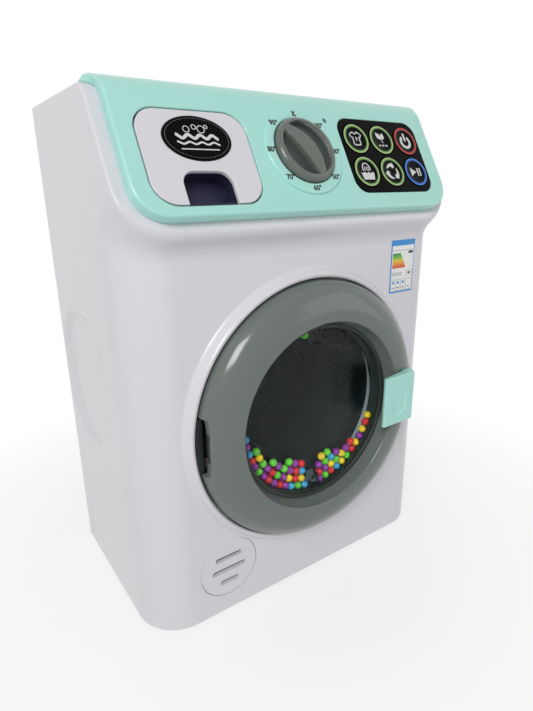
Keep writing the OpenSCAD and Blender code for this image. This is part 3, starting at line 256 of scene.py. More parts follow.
def linear(hexCode, alpha=1.0):  # an sRGB hex value as linear colour
    parts = np.array([int(hexCode[i:i + 2], 16) for i in (1, 3, 5)]) / 255
    return (*np.where(parts <= 0.04045, parts / 12.92, ((parts + 0.055) / 1.055) ** 2.4).tolist(), alpha)


def addNode(material, kind, settings=None, links=None):
    node = material.node_tree.nodes.new(kind)
    for key, value in (settings or {}).items():
        if isinstance(key, int) or key in node.inputs:
            node.inputs[key].default_value = value
        else:
            setattr(node, key, value)
    for key, source in (links or {}).items():
        material.node_tree.links.new(source, node.inputs[key])
    return node


def newMaterial(name, settings):
    material = bpy.data.materials.new(name)
    material.use_nodes = True
    shader = material.node_tree.nodes["Principled BSDF"]
    for key, value in settings.items():
        shader.inputs[key].default_value = value
    return material, shader


def moulded(name, colour, roughness, shift=0.03, grain=0.5, depth=0.002, patch=45.0, extra=None):
    # injection-moulded plastic: one colour that drifts slightly over `patch` mm, an even gloss
    # with faint handling marks, and a mould texture `grain` mm across and `depth` mm deep
    material, shader = newMaterial(name, {"Roughness": roughness, "IOR": 1.5, **(extra or {})})
    where = addNode(material, "ShaderNodeTexCoord").outputs["Object"]
    drift = addNode(material, "ShaderNodeTexNoise", {"Scale": 1000 / patch, "Detail": 2.0}, {"Vector": where})
    base = np.array(linear(colour)[:3])
    tint = addNode(material, "ShaderNodeMix", {"data_type": "RGBA", 6: (*(base * (1 - shift)), 1.0),
                                               7: (*np.minimum(base * (1 + shift), 1.0), 1.0)},
                   {0: drift.outputs["Fac"]})
    marks = addNode(material, "ShaderNodeTexNoise", {"Scale": 1000 / 9.0, "Detail": 4.0}, {"Vector": where})
    gloss = addNode(material, "ShaderNodeMapRange", {"From Min": 0.3, "From Max": 0.7,
                                                     "To Min": roughness - 0.01, "To Max": roughness + 0.02},
                    {"Value": marks.outputs["Fac"]})
    fine = addNode(material, "ShaderNodeTexNoise", {"Scale": 1000 / grain, "Detail": 1.0}, {"Vector": where})
    bump = addNode(material, "ShaderNodeBump", {"Strength": 0.12, "Distance": depth * mm},
                   {"Height": fine.outputs["Fac"]})
    links = material.node_tree.links
    links.new(tint.outputs[2], shader.inputs["Base Color"])
    links.new(gloss.outputs["Result"], shader.inputs["Roughness"])
    links.new(bump.outputs["Normal"], shader.inputs["Normal"])
    return material


# white ABS: cool white, semi-gloss skin straight from a polished mould
whitePlastic = moulded("whiteAbs", "#DFDDE2", 0.2, shift=0.008)
# mint ABS: pale blue-green, the same gloss
mintPlastic = moulded("mintAbs", "#AEE7DC", 0.2, shift=0.012)
# grey ABS of the door ring: mid green-grey with a tight, bright highlight
ringPlastic = moulded("greyAbs", "#6A736E", 0.15, shift=0.03)
linerPlastic = moulded("linerAbs", "#353D39", 0.4, extra={"Specular IOR Level": 0.25})
knobPlastic = moulded("knobAbs", "#666C66", 0.15, shift=0.03, extra={"Specular IOR Level": 0.45})
# painted shade: the knob's own grey, darkened for the floor of its finger pockets where the light is kept out
pocketShadePaint = moulded("knobPocketPaintedShade", "#4B524F", 0.3, shift=0.03, extra={"Specular IOR Level": 0.2})
navyPlastic = moulded("navyAbs", "#26263F", 0.42, shift=0.05, extra={"Specular IOR Level": 0.25})
blackPlastic = moulded("blackGlossAbs", "#060707", 0.14, shift=0.05, extra={"Specular IOR Level": 0.04})
charcoalPlastic = moulded("charcoalPolypropylene", "#2A2E2E", 0.34, shift=0.06,
                           extra={"Specular IOR Level": 0.25})
palePlastic = moulded("palePolypropylene", "#D6D8DA", 0.4, shift=0.02)
gearPlastic = moulded("acetalGear", "#E4E1D4", 0.35, shift=0.02)
rubber = moulded("blackRubber", "#141516", 0.6, shift=0.08, grain=0.8, depth=0.03)
silicone = moulded("greySilicone", "#C4C7CA", 0.55)
boardLacquer = moulded("boardLacquer", "#25603A", 0.35, shift=0.1, patch=4.0)
cellJacket = moulded("cellJacket", "#3F7F5A", 0.35, shift=0.05)
lensPlastic = moulded("lensAcrylic", "#3F7E72", 0.15)


def metal(name, colour, roughness, streak=0.4):
    # drawn or turned metal: even colour, with fine streaks `streak` mm apart in its gloss
    material, shader = newMaterial(name, {"Metallic": 1.0, "Roughness": roughness,
                                          "Base Color": linear(colour)})
    where = addNode(material, "ShaderNodeTexCoord").outputs["Object"]
    stretch = addNode(material, "ShaderNodeMapping", {"Scale": (1.0, 0.1, 1.0)}, {"Vector": where})
    lines = addNode(material, "ShaderNodeTexNoise", {"Scale": 1000 / streak},
                    {"Vector": stretch.outputs["Vector"]})
    gloss = addNode(material, "ShaderNodeMapRange", {"To Min": roughness - 0.08, "To Max": roughness + 0.12},
                    {"Value": lines.outputs["Fac"]})
    material.node_tree.links.new(gloss.outputs["Result"], shader.inputs["Roughness"])
    return material


steel = metal("zincPlatedSteel", "#B8BCC0", 0.32)
brass = metal("turnedBrass", "#C9A24B", 0.3)


def clearWindow():
    # clear polystyrene: lets light straight through for shadows, so what is behind it stays lit, and
    # mirrors only faintly, since the four skins of the two thin windows add up
    material, shader = newMaterial("clearPolystyrene", {"Base Color": linear("#E4EAEA"), "Roughness": 0.03,
                                                        "IOR": 1.16, "Transmission Weight": 1.0})
    light = addNode(material, "ShaderNodeLightPath")
    through = addNode(material, "ShaderNodeBsdfTransparent", {"Color": linear("#E4EAEA")})
    mix = addNode(material, "ShaderNodeMixShader", {}, {0: light.outputs["Is Shadow Ray"],
                                                       1: shader.outputs["BSDF"], 2: through.outputs["BSDF"]})
    output = material.node_tree.nodes["Material Output"]
    material.node_tree.links.new(mix.outputs["Shader"], output.inputs["Surface"])
    return material


windowPlastic = clearWindow()


def printed(name, colour, roughness=0.35):  # screen-printed ink: flat colour with a slight grain
    return moulded(name, colour, roughness, shift=0.05, grain=0.3, depth=0.004, patch=3.0)


whiteInk = printed("whiteInk", "#D9DAD8")
blackInk = printed("blackInk", "#081210")
print("materials made")


# ---------- the white shells ----------

def cornerSet(distance, radius):  # how far a round corner falls back at a distance past its start
    return radius - np.sqrt(np.maximum(radius ** 2 - np.maximum(distance, 0) ** 2, 0))


def smoothMin(a, b, k):
    return np.minimum(a, b) - np.maximum(k - np.abs(a - b), 0) ** 2 / (4 * k)


def smoothMax(a, b, k):
    return np.maximum(a, b) + np.maximum(k - np.abs(a - b), 0) ** 2 / (4 * k)


def frontSurface(x, z):
    # the upright face with round corners, blended by smooth minimum into the hood's underside,
    # and by smooth maximum into the plane of its sloping face, which turns into the top in a quarter round
    ax, l = np.abs(x), layout
    r = l["turnRadius"]
    turnZ, turnY = l["height"] - r, l["rimY"] + r * leanCos - np.tan(l["tilt"]) * r * (1 - leanSin)
    face = cornerSet(ax - (l["halfWidth"] - l["frontRadius"]), l["frontRadius"])
    plane = l["rimY"] - np.tan(l["tilt"]) * (l["height"] - z)
    turned = turnY - np.sqrt(np.maximum(r ** 2 - (z - turnZ) ** 2, 0))
    slope = (np.where(z > turnZ + r * leanSin, turned, plane)
             + cornerSet(ax - (l["halfWidth"] - l["topRadius"]), l["topRadius"]) / leanCos)
    lipUp = l["rimY"] * leanSin + l["height"] * leanCos - l["hoodLength"]
    lip = lipUp + cornerSet(ax - (l["halfWidth"] - l["lipRadius"]), l["lipRadius"])
    under = (lip - z * leanCos) / leanSin
    return smoothMax(slope, smoothMin(face, under, l["coveBlend"]), l["lipBlend"])


dish = {"z": 132.0, "radius": 42.0, "bevel": 7.0, "depth": 2.5}


def dishDepth(y, z):  # a flat-floored round dish with a smooth step for its wall
    away = np.hypot(y - layout["seam"], z - dish["z"])
    t = np.clip((dish["radius"] - away) / dish["bevel"], 0, 1)
    return dish["depth"] * t * t * (3 - 2 * t)


def shellRows():  # heights of the rows, close together where the shape turns
    quarterTurn = np.linspace(0, np.pi / 2, 7)
    base, edge, height = layout["baseRound"], layout["topRadius"], layout["height"]
    hoodTurn = layout["turnRadius"] * (1 - np.sin(np.linspace(0.45, np.pi / 2, 18)))
    return np.unique(np.concatenate([
        base * (1 - np.cos(quarterTurn)), [base + 0.5], np.arange(6, 88, 6.0), np.arange(88, 176, 1.6),
        np.arange(178, 196, 3.0), np.arange(196, 252, 1.1), np.arange(254, 272, 4.0), height - hoodTurn,
        [height - edge - 0.5], height - edge + edge * np.sin(quarterTurn)]))


def edgeFalls(z, inset):  # how far the bottom and top edges' rounds fall back at a height
    return (cornerSet(layout["baseRound"] - z + inset, layout["baseRound"]),
            cornerSet(z - (layout["height"] - layout["topRadius"]), layout["topRadius"]))


def frontSheet(inset):
    # columns run from the left seam round the front to the right seam; rows run from bottom to top
    z = np.clip(shellRows(), inset, layout["height"] - inset)[:, None]
    low, high = edgeFalls(z, inset)
    turn = np.linspace(0, np.pi / 2, 22)
    flatHalf = layout["halfWidth"] - layout["frontRadius"]
    s, c = np.sin(turn), np.cos(turn)
    ax = flatHalf + (layout["frontRadius"] - high) * s
    corner = stack(flatHalf + (layout["frontRadius"] - inset - low - high) * s,
                   frontSurface(ax, z) + low * c + inset, z + 0 * s)
    middle = stack(np.linspace(-flatHalf, flatHalf, 9)[1:-1], frontSurface(0 * z, z) + low + inset, z)
    t = np.linspace(1, 0, 27)[1:]
    edge = corner[:, -1:, :]
    ySide = edge[..., 1] + (layout["seam"] + inset - edge[..., 1]) * (1 - t)
    side = stack(edge[..., 0] - dishDepth(ySide, z), ySide, z)
    right = np.concatenate([corner, side], 1)
    left = right[:, ::-1] * np.array([-1, 1, 1])
    return np.concatenate([left, middle, right], 1)


def rearSheet(inset):
    z = np.clip(shellRows(), inset, layout["height"] - inset)[:, None]
    low, high = edgeFalls(z, inset)
    half, back = layout["halfWidth"], layout["depth"]
    turn = np.linspace(0, np.pi / 2, 9)
    r = layout["backRadius"] - inset / 2
    corner = stack(half - inset - low - high - r + r * np.cos(turn),
                   back - inset - low - high - r + r * np.sin(turn), z + 0 * turn)
    ySide = np.linspace(layout["seam"] - inset, back - layout["backRadius"], 25)[:-1]
    side = stack(half - inset - low - high - dishDepth(ySide, z), ySide + 0 * z, z)
    right = np.concatenate([side, corner], 1)
    middle = stack(np.linspace(half - 12, 12 - half, 9), back - inset - low - high, z)
    left = right[:, ::-1] * np.array([-1, 1, 1])
    return np.concatenate([right, middle, left], 1)


def closedShell(name, sheet, material):  # a sheet with flat caps over its top, bottom and open side
    rows, cols = sheet.shape[:2]
    grid = np.arange(rows * cols).reshape(rows, cols)
    ends = np.concatenate([grid[:, 0], grid[::-1, -1]])
    faces = gridFaces(rows, cols).tolist() + [grid[0].tolist(), grid[-1].tolist(), ends.tolist()]
    return newPiece(name, shellPoint(*np.moveaxis(sheet, -1, 0)), faces, material)


def prism(name, placing, outline, low, high):  # a straight cutter
    return slab(name, placing, outline, [(0, low), (0, high)], whitePlastic)


def plug(name, placing, radius, low, high, steps=160):  # a round cutter
    return lathe(name, placing, [(0.01, low), (radius, low), (radius, high), (0.01, high)], whitePlastic,
                 steps=steps, closed=False)


def at(placing, dx, dy):
    return lambda x, y, n: placing(np.asarray(x, float) + dx, np.asarray(y, float) + dy, n)


grille = {"x": -58.3, "z": 29.8, "radius": 18.2, "hole": 18.5}
well = {"mouth": 77.2, "neck": 53.5, "neckDepth": 8.0, "depth": 2.0, "rise": 5.0, "width": 6.0, "crest": 1.6,
        "back": -1.9}
hoodOpening = {"drop": 33.45, "width": 183.2, "height": 52.9, "radius": 7}
doorSlots = (("hingeSlot", -66, 16, 22), ("catchSlot", 66.7, 15, 16))  # name, x, width, height


def makeFrontShell():
    shell = closedShell("frontShell", frontSheet(0), whitePlastic)
    inside = closedShell("inside", frontSheet(layout["wall"]), whitePlastic)
    grillePlace = at(facing, grille["x"], grille["z"] - layout["doorZ"])
    h = hoodOpening
    opening = roundedBox(h["width"], h["height"], h["radius"])
    holes = [plug("doorHole", facing, 80, -6, 6), plug("grilleHole", grillePlace, grille["hole"], -6, 6),
             prism("hoodHole", slopeAround(0, h["drop"]), opening, -8, 3)]
    cutAway(shell, inside)
    cutAway(shell, *holes)
    w, skin = well, layout["wall"]
    slope = [(w["mouth"] + w["width"] - (w["width"] - w["crest"]) * a / np.pi,
              w["rise"] * (1 - math.cos(a)) / 2)
             for a in np.linspace(0, np.pi, 20)]
    crest = [(w["mouth"] + w["crest"] - w["crest"] * math.sin(a), w["rise"] - 1.2 * (1 - math.cos(a)))
             for a in np.linspace(0, np.pi / 2, 6)[1:]]
    profile = [(w["neck"], -w["depth"]), (w["neck"], -w["neckDepth"]), (w["neck"] + skin, -w["neckDepth"]),
               (w["neck"] + skin, -w["depth"] - skin), (w["mouth"] + skin, -w["depth"] - skin),
               (w["mouth"] + skin, w["back"]), (w["mouth"] + w["width"], w["back"])]
    profile += slope + crest + [(w["mouth"], -w["depth"])]
    collar = lathe("collar", facing, profile, whitePlastic, steps=220)
    cutAway(collar, *[prism(name, at(facing, x, 0), roundedBox(width, height, 0.3), -9, 1)
                      for name, x, width, height in doorSlots])
    place(joinPieces("frontShell", [shell, collar]), "body", "white_plastic", "front_shell")


makeFrontShell()
print("front shell made")


rear = {"ventZ": 177, "ventPitch": 6, "ventWidth": 40, "hatchZ": 34, "hatchWidth": 60.4, "hatchHeight": 49,
        "tabRise": 27, "screwX": 98.8, "screwZ": (18, 74, 196, 262), "screwRadius": 3.4}


def makeRearCover():
    shell = closedShell("rearCover", rearSheet(0), whitePlastic)
    inside = closedShell("rearInside", rearSheet(layout["wall"]), whitePlastic)
    r = rear

    def back(x, z, k):  # k backwards from the rear face
        return shellPoint(x, layout["depth"] + np.asarray(k, float), z)
    cutAway(shell, inside)
    vents = [prism("vent", at(back, 0, r["ventZ"] + r["ventPitch"] * i),
                   roundedBox(r["ventWidth"] - 4 * abs(i), 2.4, 1.19), -6, 3) for i in range(-3, 4)]
    hatch = prism("hatch", at(back, 0, r["hatchZ"]), roundedBox(r["hatchWidth"], r["hatchHeight"], 3.2), -6, 3)
    tab = prism("tabHole", at(back, 0, r["hatchZ"] + r["tabRise"]), roundedBox(12.4, 9, 2), -6, 3)
    wells = [plug("well", at(back, side * r["screwX"], z), r["screwRadius"], -20, 3, steps=40)
             for side in (-1, 1) for z in r["screwZ"]]
    cutAway(shell, *vents, hatch)
    cutAway(shell, tab)
    cutAway(shell, *wells)
    place(shell, "body", "white_plastic", "rear_cover")


makeRearCover()
print("rear cover made")

# ---------- the control panel ----------

def edgeWeights(piece, weightAt):  # bevel weights by place, on hard edges only
    mesh = piece.data
    work = bmesh.new()
    work.from_mesh(mesh)
    layer = work.edges.layers.float.new("bevel_weight_edge")
    for edge in work.edges:
        if len(edge.link_faces) == 2 and edge.calc_face_angle(0) > math.radians(35):
            edge[layer] = weightAt((edge.verts[0].co + edge.verts[1].co) / 2)
    work.to_mesh(mesh)
    work.free()


def softenByWeight(piece, width, weightAt):
    edgeWeights(piece, weightAt)
    bevel(piece, width, 3, limit_method="WEIGHT", use_clamp_overlap=False)
    tidyShading(piece, 40)


def downSlope(point):  # (x, drop, n) in mm of a point in the frame
    y = point.y / mm - frontFace - layout["rimY"]
    z = point.z / mm - footHeight - layout["height"]
    return point.x / mm, -(y * leanSin + z * leanCos), z * leanSin - y * leanCos


def smoothStep(t):
    t = np.clip(t, 0, 1)
    return t * t * (3 - 2 * t)


panel = {"half": 98.8, "low": 67.1, "cornerRound": 16.0, "turn": 18.0, "over": 3.4, "back": 35.0, "wall": 2.2,
         "edgeRound": 1.4, "groove": 0.6, "chamfer": 0.35, "flareTop": 2.2, "flareBase": 5.0,
         "flareStart": 88}
panelOpenings = (  # x, drop, width, height and corner radius: drawer, keys, dial's shaft, light
    (-61.9, 38.8, 56.6, 47.1, 11.7), (57.0, 35.8, 61.5, 44.5, 8.15), (-2.7, 35.0, 9.1, 9.1, 4.5),
    (18.9, 15.8, 2.5, 2.5, 1.2))
proud = layout["panelProud"]


def turnPath(radius, n, rise, startDrop, rearEnd):
    # points (y, z) along a side view from a drop on the slope, round a turn, to a place on the top,
    # each with its distance along, as one table
    rimY, high = layout["rimY"], layout["height"]
    drop = ((n - radius) * leanSin - rise + radius) / leanCos
    centre = (rimY - drop * leanSin - (n - radius) * leanCos, high - drop * leanCos + (n - radius) * leanSin)
    a = np.linspace(np.pi - layout["tilt"], np.pi / 2, 40)
    start = (rimY - startDrop * leanSin - n * leanCos, high - startDrop * leanCos + n * leanSin)
    arc = stack(centre[0] + radius * np.cos(a), centre[1] + radius * np.sin(a))
    path = np.concatenate([[start], arc, [(rearEnd, high + rise)]])
    return path, np.concatenate([[0], np.cumsum(np.linalg.norm(np.diff(path, axis=0), axis=1))])


turnDrop = ((proud - panel["turn"]) * leanSin - panel["over"] + panel["turn"]) / leanCos
outerPath, outerRun = turnPath(panel["turn"], proud, panel["over"], turnDrop, panel["back"])
basePath, baseRun = turnPath(layout["turnRadius"], 0.0, 0.0, turnDrop, panel["back"])


def panelBend(x, y, n):
    # the panel drawn flat, y up the slope, is wrapped over the hood's top edge: its outer skin follows
    # the outer path and its underside the hood's own turn; the ends flare out to the body's sides
    t = np.clip((y + turnDrop) / outerRun[-1], 0, 1)
    outer = [np.interp(t * outerRun[-1], outerRun, outerPath[:, k]) for k in (0, 1)]
    base = [np.interp(t * baseRun[-1], baseRun, basePath[:, k]) for k in (0, 1)]
    share = n / proud
    flare = (panel["flareTop"] * share * smoothStep((t - 0.2) / 0.5)
             + panel["flareBase"] * (1 - share) * smoothStep((t - 0.45) / 0.5))
    flare = flare * smoothStep((np.abs(x) - panel["flareStart"]) / 8)
    bent = [b + (o - b) * share for o, b in zip(outer, base)]
    flat = [layout["rimY"] + y * leanSin - n * leanCos, layout["height"] + y * leanCos + n * leanSin]
    wrapped = y > -turnDrop
    return shellPoint(x + np.sign(x) * flare, *(np.where(wrapped, w, f) for w, f in zip(bent, flat)))


def flatPlace(x, y, n):
    return stack(x, y, n) * mm


def makePanel():
    # drawn flat as a plate with a rounded edge, cut, sliced across where it bends, then wrapped
    p = panel
    top = outerRun[-1] - turnDrop
    across = at(flatPlace, 0, (top - p["low"]) / 2)
    quarterRound = [(p["edgeRound"] * (1 - math.cos(a)), proud - p["edgeRound"] * (1 - math.sin(a)))
                    for a in np.linspace(0, np.pi / 2, 7)]
    plan = roundedBox(2 * p["half"], top + p["low"], p["cornerRound"], 1.5, steps=28)
    whole = slab("controlPanel", across, plan, [(1.2, 0.0), (p["groove"], 0.0), (0.0, 0.7)] + quarterRound
                 + [(p["edgeRound"] + 0.4, proud)], mintPlastic)
    inner = roundedBox(2 * (p["half"] - p["wall"]), top + p["low"] - 2 * p["wall"],
                       p["cornerRound"] - p["wall"], 1, steps=16)
    opening = [(0, proud - p["wall"] - 1), (0, proud - p["chamfer"]), (-p["chamfer"] - 1, proud + 1)]
    cutters = [slab("cavity", across, inner, [(0, -1), (0, proud - p["wall"])], mintPlastic)]
    for x, drop, width, height, r in panelOpenings:
        cutters.append(slab("opening", at(flatPlace, x, -drop), roundedBox(width, height, r, steps=14), opening,
                            mintPlastic))
    for cutter in cutters:
        cutAway(whole, cutter)
    work = bmesh.new()
    work.from_mesh(whole.data)
    for t in np.linspace(0, 1, 22)[:-1]:
        bmesh.ops.bisect_plane(work, geom=work.verts[:] + work.edges[:] + work.faces[:], dist=1e-7,
                               plane_co=(0, (t * outerRun[-1] - turnDrop) * mm, 0), plane_no=(0, 1, 0))
    for vert in work.verts:
        vert.co = Vector(panelBend(*(np.array(vert.co) / mm)))
    work.to_mesh(whole.data)
    work.free()
    mesh = whole.data
    if mesh.attributes.get("custom_normal"):
        mesh.attributes.remove(mesh.attributes["custom_normal"])
    mesh.shade_smooth()
    mesh.set_sharp_from_angle(angle=math.radians(32))
    return place(whole, "body", "mint_plastic", "control_panel")


makePanel()

dial = {"x": -2.7, "drop": 35.0, "radius": 23.6, "height": 1.4}
dialPlace = slopeAround(dial["x"], dial["drop"])


def quarter(radius, high, roundR, steps=6):  # (radius, height) points over an outer edge
    a = np.linspace(0, np.pi / 2, steps)
    return [(radius - roundR + roundR * math.cos(t), high - roundR + roundR * math.sin(t)) for t in a]


def makeDialPlate():
    top = proud + dial["height"]
    profile = [(18.1, proud + 0.02), (dial["radius"], proud + 0.02)] + quarter(dial["radius"], top, 1.0)
    profile += [(18.5, top), (18.1, top - 0.4)]
    ring = lathe("dialRing", dialPlace, profile, mintPlastic, steps=200)
    place(ring, "body", "mint_plastic", "dial_plate")


makeDialPlate()


def stroke(points, width, closed=False):
    # the two sides of a line of even width: each point moved along the mean normal of its neighbours
    p = np.asarray(points, float)
    if closed:
        step = np.roll(p, -1, 0) - np.roll(p, 1, 0)
    else:
        step = np.gradient(p, axis=0)
    normal = np.stack([-step[:, 1], step[:, 0]], -1) / np.maximum(np.linalg.norm(step, axis=1), 1e-9)[:, None]
    return p + normal * width / 2, p - normal * width / 2


def inkBand(name, placing, outer, inner, low, high, material):  # a closed printed line
    edges = ((outer, low), (outer, high), (inner, high), (inner, low))
    loops = [placing(loop[:, 0], loop[:, 1], height) for loop, height in edges]
    return newPiece(name, np.array(loops), gridFaces(4, len(outer), True, True), material)


def inkShape(name, placing, outline, low, high, material):  # a filled printed shape
    loop = np.asarray(outline, float)
    return slab(name, placing, lambda inset: loop, [(0, low), (0, high)], material)


def inkLine(name, placing, points, width, low, high, material):
    left, right = stroke(points, width)
    return inkShape(name, placing, np.concatenate([left, right[::-1]]), low, high, material)


def arcPoints(x, y, radius, start, end, steps=24):
    a = np.radians(np.linspace(start, end, steps))
    return np.stack([x + radius * np.cos(a), y + radius * np.sin(a)], -1)


def inkText(name, words, placing, x, y, size, low, material):  # plain numerals, centred on a point
    curve = bpy.data.curves.new(name, "FONT")
    curve.body, curve.size, curve.align_x, curve.align_y = words, size, "CENTER", "CENTER"
    curve.extrude, curve.resolution_u, curve.offset = 0.03, 4, 0.15
    text = bpy.data.objects.new(name, curve)
    bpy.context.scene.collection.objects.link(text)
    made = bpy.data.meshes.new_from_object(text.evaluated_get(bpy.context.evaluated_depsgraph_get()))
    bpy.data.objects.remove(text)
    points = np.zeros(len(made.vertices) * 3)
    made.vertices.foreach_get("co", points)
    points = points.reshape(-1, 3)
    moved = placing(points[:, 0] + x, points[:, 1] + y, points[:, 2] + low + 0.03)
    faces = [tuple(p.vertices) for p in made.polygons]
    bpy.data.meshes.remove(made)
    return newPiece(name, moved, faces, material)


numerals = {"radius": 20.75, "size": 3.8, "words": ["", "30°", "40°", "50°", "60°", "70°", "80°", "90°"]}


def makeNumerals():
    top = proud + dial["height"]
    pieces = []
    for i, words in enumerate(numerals["words"]):
        a = math.radians(90 - 45 * i)
        x, y = numerals["radius"] * math.cos(a), numerals["radius"] * math.sin(a)
        if words:
            pieces.append(inkText("numeral", words, dialPlace, x + 0.2, y, numerals["size"], top, blackInk))
            continue
        lines = [[(x - side, y - 1.5), (x, y), (x + 0.9 * side, y + 1.4)] for side in (-1, 1)]
        lines.append([(x + 0.5, y - 1.6), (x + 1.1, y - 1.0), (x + 1.6, y - 1.2)])
        pieces += [inkLine("cold", dialPlace, line, 0.75, top, top + 0.06, blackInk) for line in lines]
    place(joinPieces("dialNumerals", pieces), "body", None)


makeNumerals()

knob = {"radius": 17.7, "bottom": proud + 0.3, "top": proud + 4.5, "crown": 0.9, "rimRound": 2.7,
        "rimDeep": 2.9, "bowl": 14.8, "ledge": 13.2, "ledgeDeep": 0.9, "deep": 3.4, "wallR": 17.2,
        "turn": math.radians(30)}


def knobHeight(x, y):
    # a rounded rim, a narrow ledge inside it, then two deep finger pockets beside a blade; each wall is
    # a smooth step on the distance from its line. The blade's left is nearly straight, its right is bowed
    k = knob
    r = np.hypot(x, y)
    rim = k["top"] - k["rimDeep"] / k["rimRound"] * cornerSet(r - (k["radius"] - k["rimRound"]), k["rimRound"])
    ledge = k["top"] - k["ledgeDeep"] * smoothStep((k["bowl"] - r) / 0.6)
    wall = k["wallR"] - np.hypot(np.abs(x) + k["wallR"] - k["ledge"], y)
    bowl = ledge - (k["deep"] - k["ledgeDeep"]) * smoothStep(wall / 0.7)
    inside = np.minimum(x + 4.6 + 0.003 * y * y, 4.4 - 0.024 * y * y - x)
    crown = k["top"] + k["crown"] * (1 - (r / k["bowl"]) ** 2)
    blade = crown - (crown - (k["top"] - k["deep"])) * smoothStep(-inside / 0.6 + 0.1)
    hollow = np.where(r < k["bowl"], smoothMax(bowl, blade, 0.2), rim)
    return np.where(r < k["bowl"], np.maximum(hollow, bowl), rim)


def makeKnob():
    k = knob
    rimStart = k["radius"] - k["rimRound"]
    radii = np.concatenate([np.linspace(0.0, k["bowl"], 110), np.linspace(k["bowl"] + 0.06, rimStart, 3),
                            k["radius"] - k["rimRound"] * (1 - np.sin(np.linspace(0.12, np.pi / 2, 10)))])
    turn = np.linspace(0, 2 * np.pi, 288, endpoint=False)
    r, a = np.meshgrid(radii, turn, indexing="ij")
    x, y = r * np.cos(a), r * np.sin(a)
    n = knobHeight(x, y)
    side = np.array([[k["radius"], k["bottom"] + 0.3], [k["radius"] - 0.3, k["bottom"]]])
    x = np.concatenate([x, side[:, :1] * np.cos(turn), np.zeros((1, len(turn)))])
    y = np.concatenate([y, side[:, :1] * np.sin(turn), np.zeros((1, len(turn)))])
    n = np.concatenate([n, side[:, 1:] + 0 * turn, np.full((1, len(turn)), k["bottom"])])
    c, s = math.cos(k["turn"]), math.sin(k["turn"])
    points = dialPlace(x * c - y * s, x * s + y * c, n)
    piece = newPiece("programKnob", points, gridFaces(len(n), len(turn), False, True), knobPlastic, sharp=50)
    # painted shade: faces deep inside the finger pockets take the darker copy of the knob grey
    piece.data.materials.append(pocketShadePaint)
    for face in piece.data.polygons:
        fx, fy = face.center.x / mm - dial["x"], downSlope(face.center)[1] - dial["drop"]
        deep = downSlope(face.center)[2] < k["top"] - 1.9
        face.material_index = int(deep and math.hypot(fx, fy) < k["bowl"])
    return place(piece, "knob", "knob_plastic", "program_knob")


makeKnob()
print("dial and knob made")


# ---------- the keys ----------

keys = {"x": 57.0, "drop": 35.8, "pitch": 19.8, "radius": 9.1, "top": proud + 0.8, "band": 1.65}
bezel = smoothCopy("key_bezel", "keyPlate", blackPlastic)
softenByWeight(bezel, 0.35, lambda p: 1.0 if downSlope(p)[2] > 6 else 0.0)
place(bezel, "body", "black_plastic", "key_bezel")

ringBands = [(8.6, 7.95), (7.95, 7.4), (7.4, 7.05)]
ringShift = (-0.3, -0.3)  # the print sits a touch low and left on the caps
ringInks = {  # the ring's three tones from the outside in, and the key's slot
    "green": (("#B3CC86", "#6DA248", "#3F6E2E"), "key_green"),
    "red": (("#C42A20", "#930E0A", "#6A0A08"), "key_red"),
    "blue": (("#2F86DC", "#0A56BC", "#083B86"), "key_blue"),
}


keyInks = {tone: printed("ring" + tone[1:], tone, 0.3) for tones, _ in ringInks.values() for tone in tones}


def shirtIcon(draw):
    half = np.array([(0, 3.1), (0.7, 3.1), (1.3, 4.0), (2.6, 3.6), (4.2, 2.2), (3.1, 0.7), (2.3, 1.2),
                     (2.5, -3.0), (2.0, -3.7), (0, -3.8)])
    loop = np.concatenate([half, (half * (-1, 1))[::-1][1:-1]])
    draw("band", loop, 0.75)
    draw("line", [(-0.5, 0.2), (0, 1.0), (0.6, 0.3), (0.1, -0.6), (0, -1.4)], 0.6)


def leafIcon(draw):
    for turn, reach, x in ((125, 5.4, -0.3), (68, 4.4, 0.4)):
        a = math.radians(turn)
        t = np.linspace(0, 1, 14)
        side = 1.5 * np.sin(np.pi * t ** 0.85)
        along = np.stack([t * reach, side], -1)
        loop = np.concatenate([along, (along * (1, -1))[::-1][1:-1]])
        spin = np.array([[math.cos(a), math.sin(a)], [-math.sin(a), math.cos(a)]])
        draw("shape", loop @ spin + (x, 0.2))
    draw("line", [(0, 0.1), (0.1, -0.8), (0.6, -1.8)], 0.55)
    for x in (-2.5, 0, 2.5):
        draw("line", [(x - 0.8, -3.5), (x, -3.5), (x + 0.8, -3.5)], 0.9)


def powerIcon(draw):
    draw("line", arcPoints(0, -0.4, 2.7, 125, 415, 40), 1.3)
    draw("line", [(0, 0.0), (0, 1.9), (0, 3.9)], 1.1)


def basinIcon(draw):
    wave = [(x, -0.5 + 0.35 * math.sin(x * 2.6)) for x in np.linspace(-3.9, 3.9, 28)]
    draw("shape", wave[::-1] + [(-3.1, -3.8), (3.1, -3.8)])
    draw("line", [(-2.3, 0.3), (-2.0, 2.6), (-0.9, 3.9), (0.9, 3.8), (2.1, 2.4), (2.2, 0.5)], 0.6)
    for x in (-0.9, 0.2, 1.2):
        draw("line", [(x, 2.3), (x - 0.1, 1.2), (x - 0.2, 0.4)], 0.45)


def cycleIcon(draw):
    for spin in (0, 120, 240):
        a = math.radians(spin)
        turn = np.array([[math.cos(a), math.sin(a)], [-math.sin(a), math.cos(a)]])
        arc = arcPoints(0, 0, 3.0, 150, 75, 16)
        width = np.linspace(0.5, 1.9, 16)[:, None] / 2
        out = arc / 3.0
        body = np.concatenate([arc + out * width, (arc - out * width)[::-1]])
        tip = arcPoints(0, 0, 3.0, 75, 48, 2)
        head = np.array([tip[0] * 1.52, tip[1], tip[0] * 0.48])
        draw("shape", body @ turn)
        draw("shape", head @ turn)


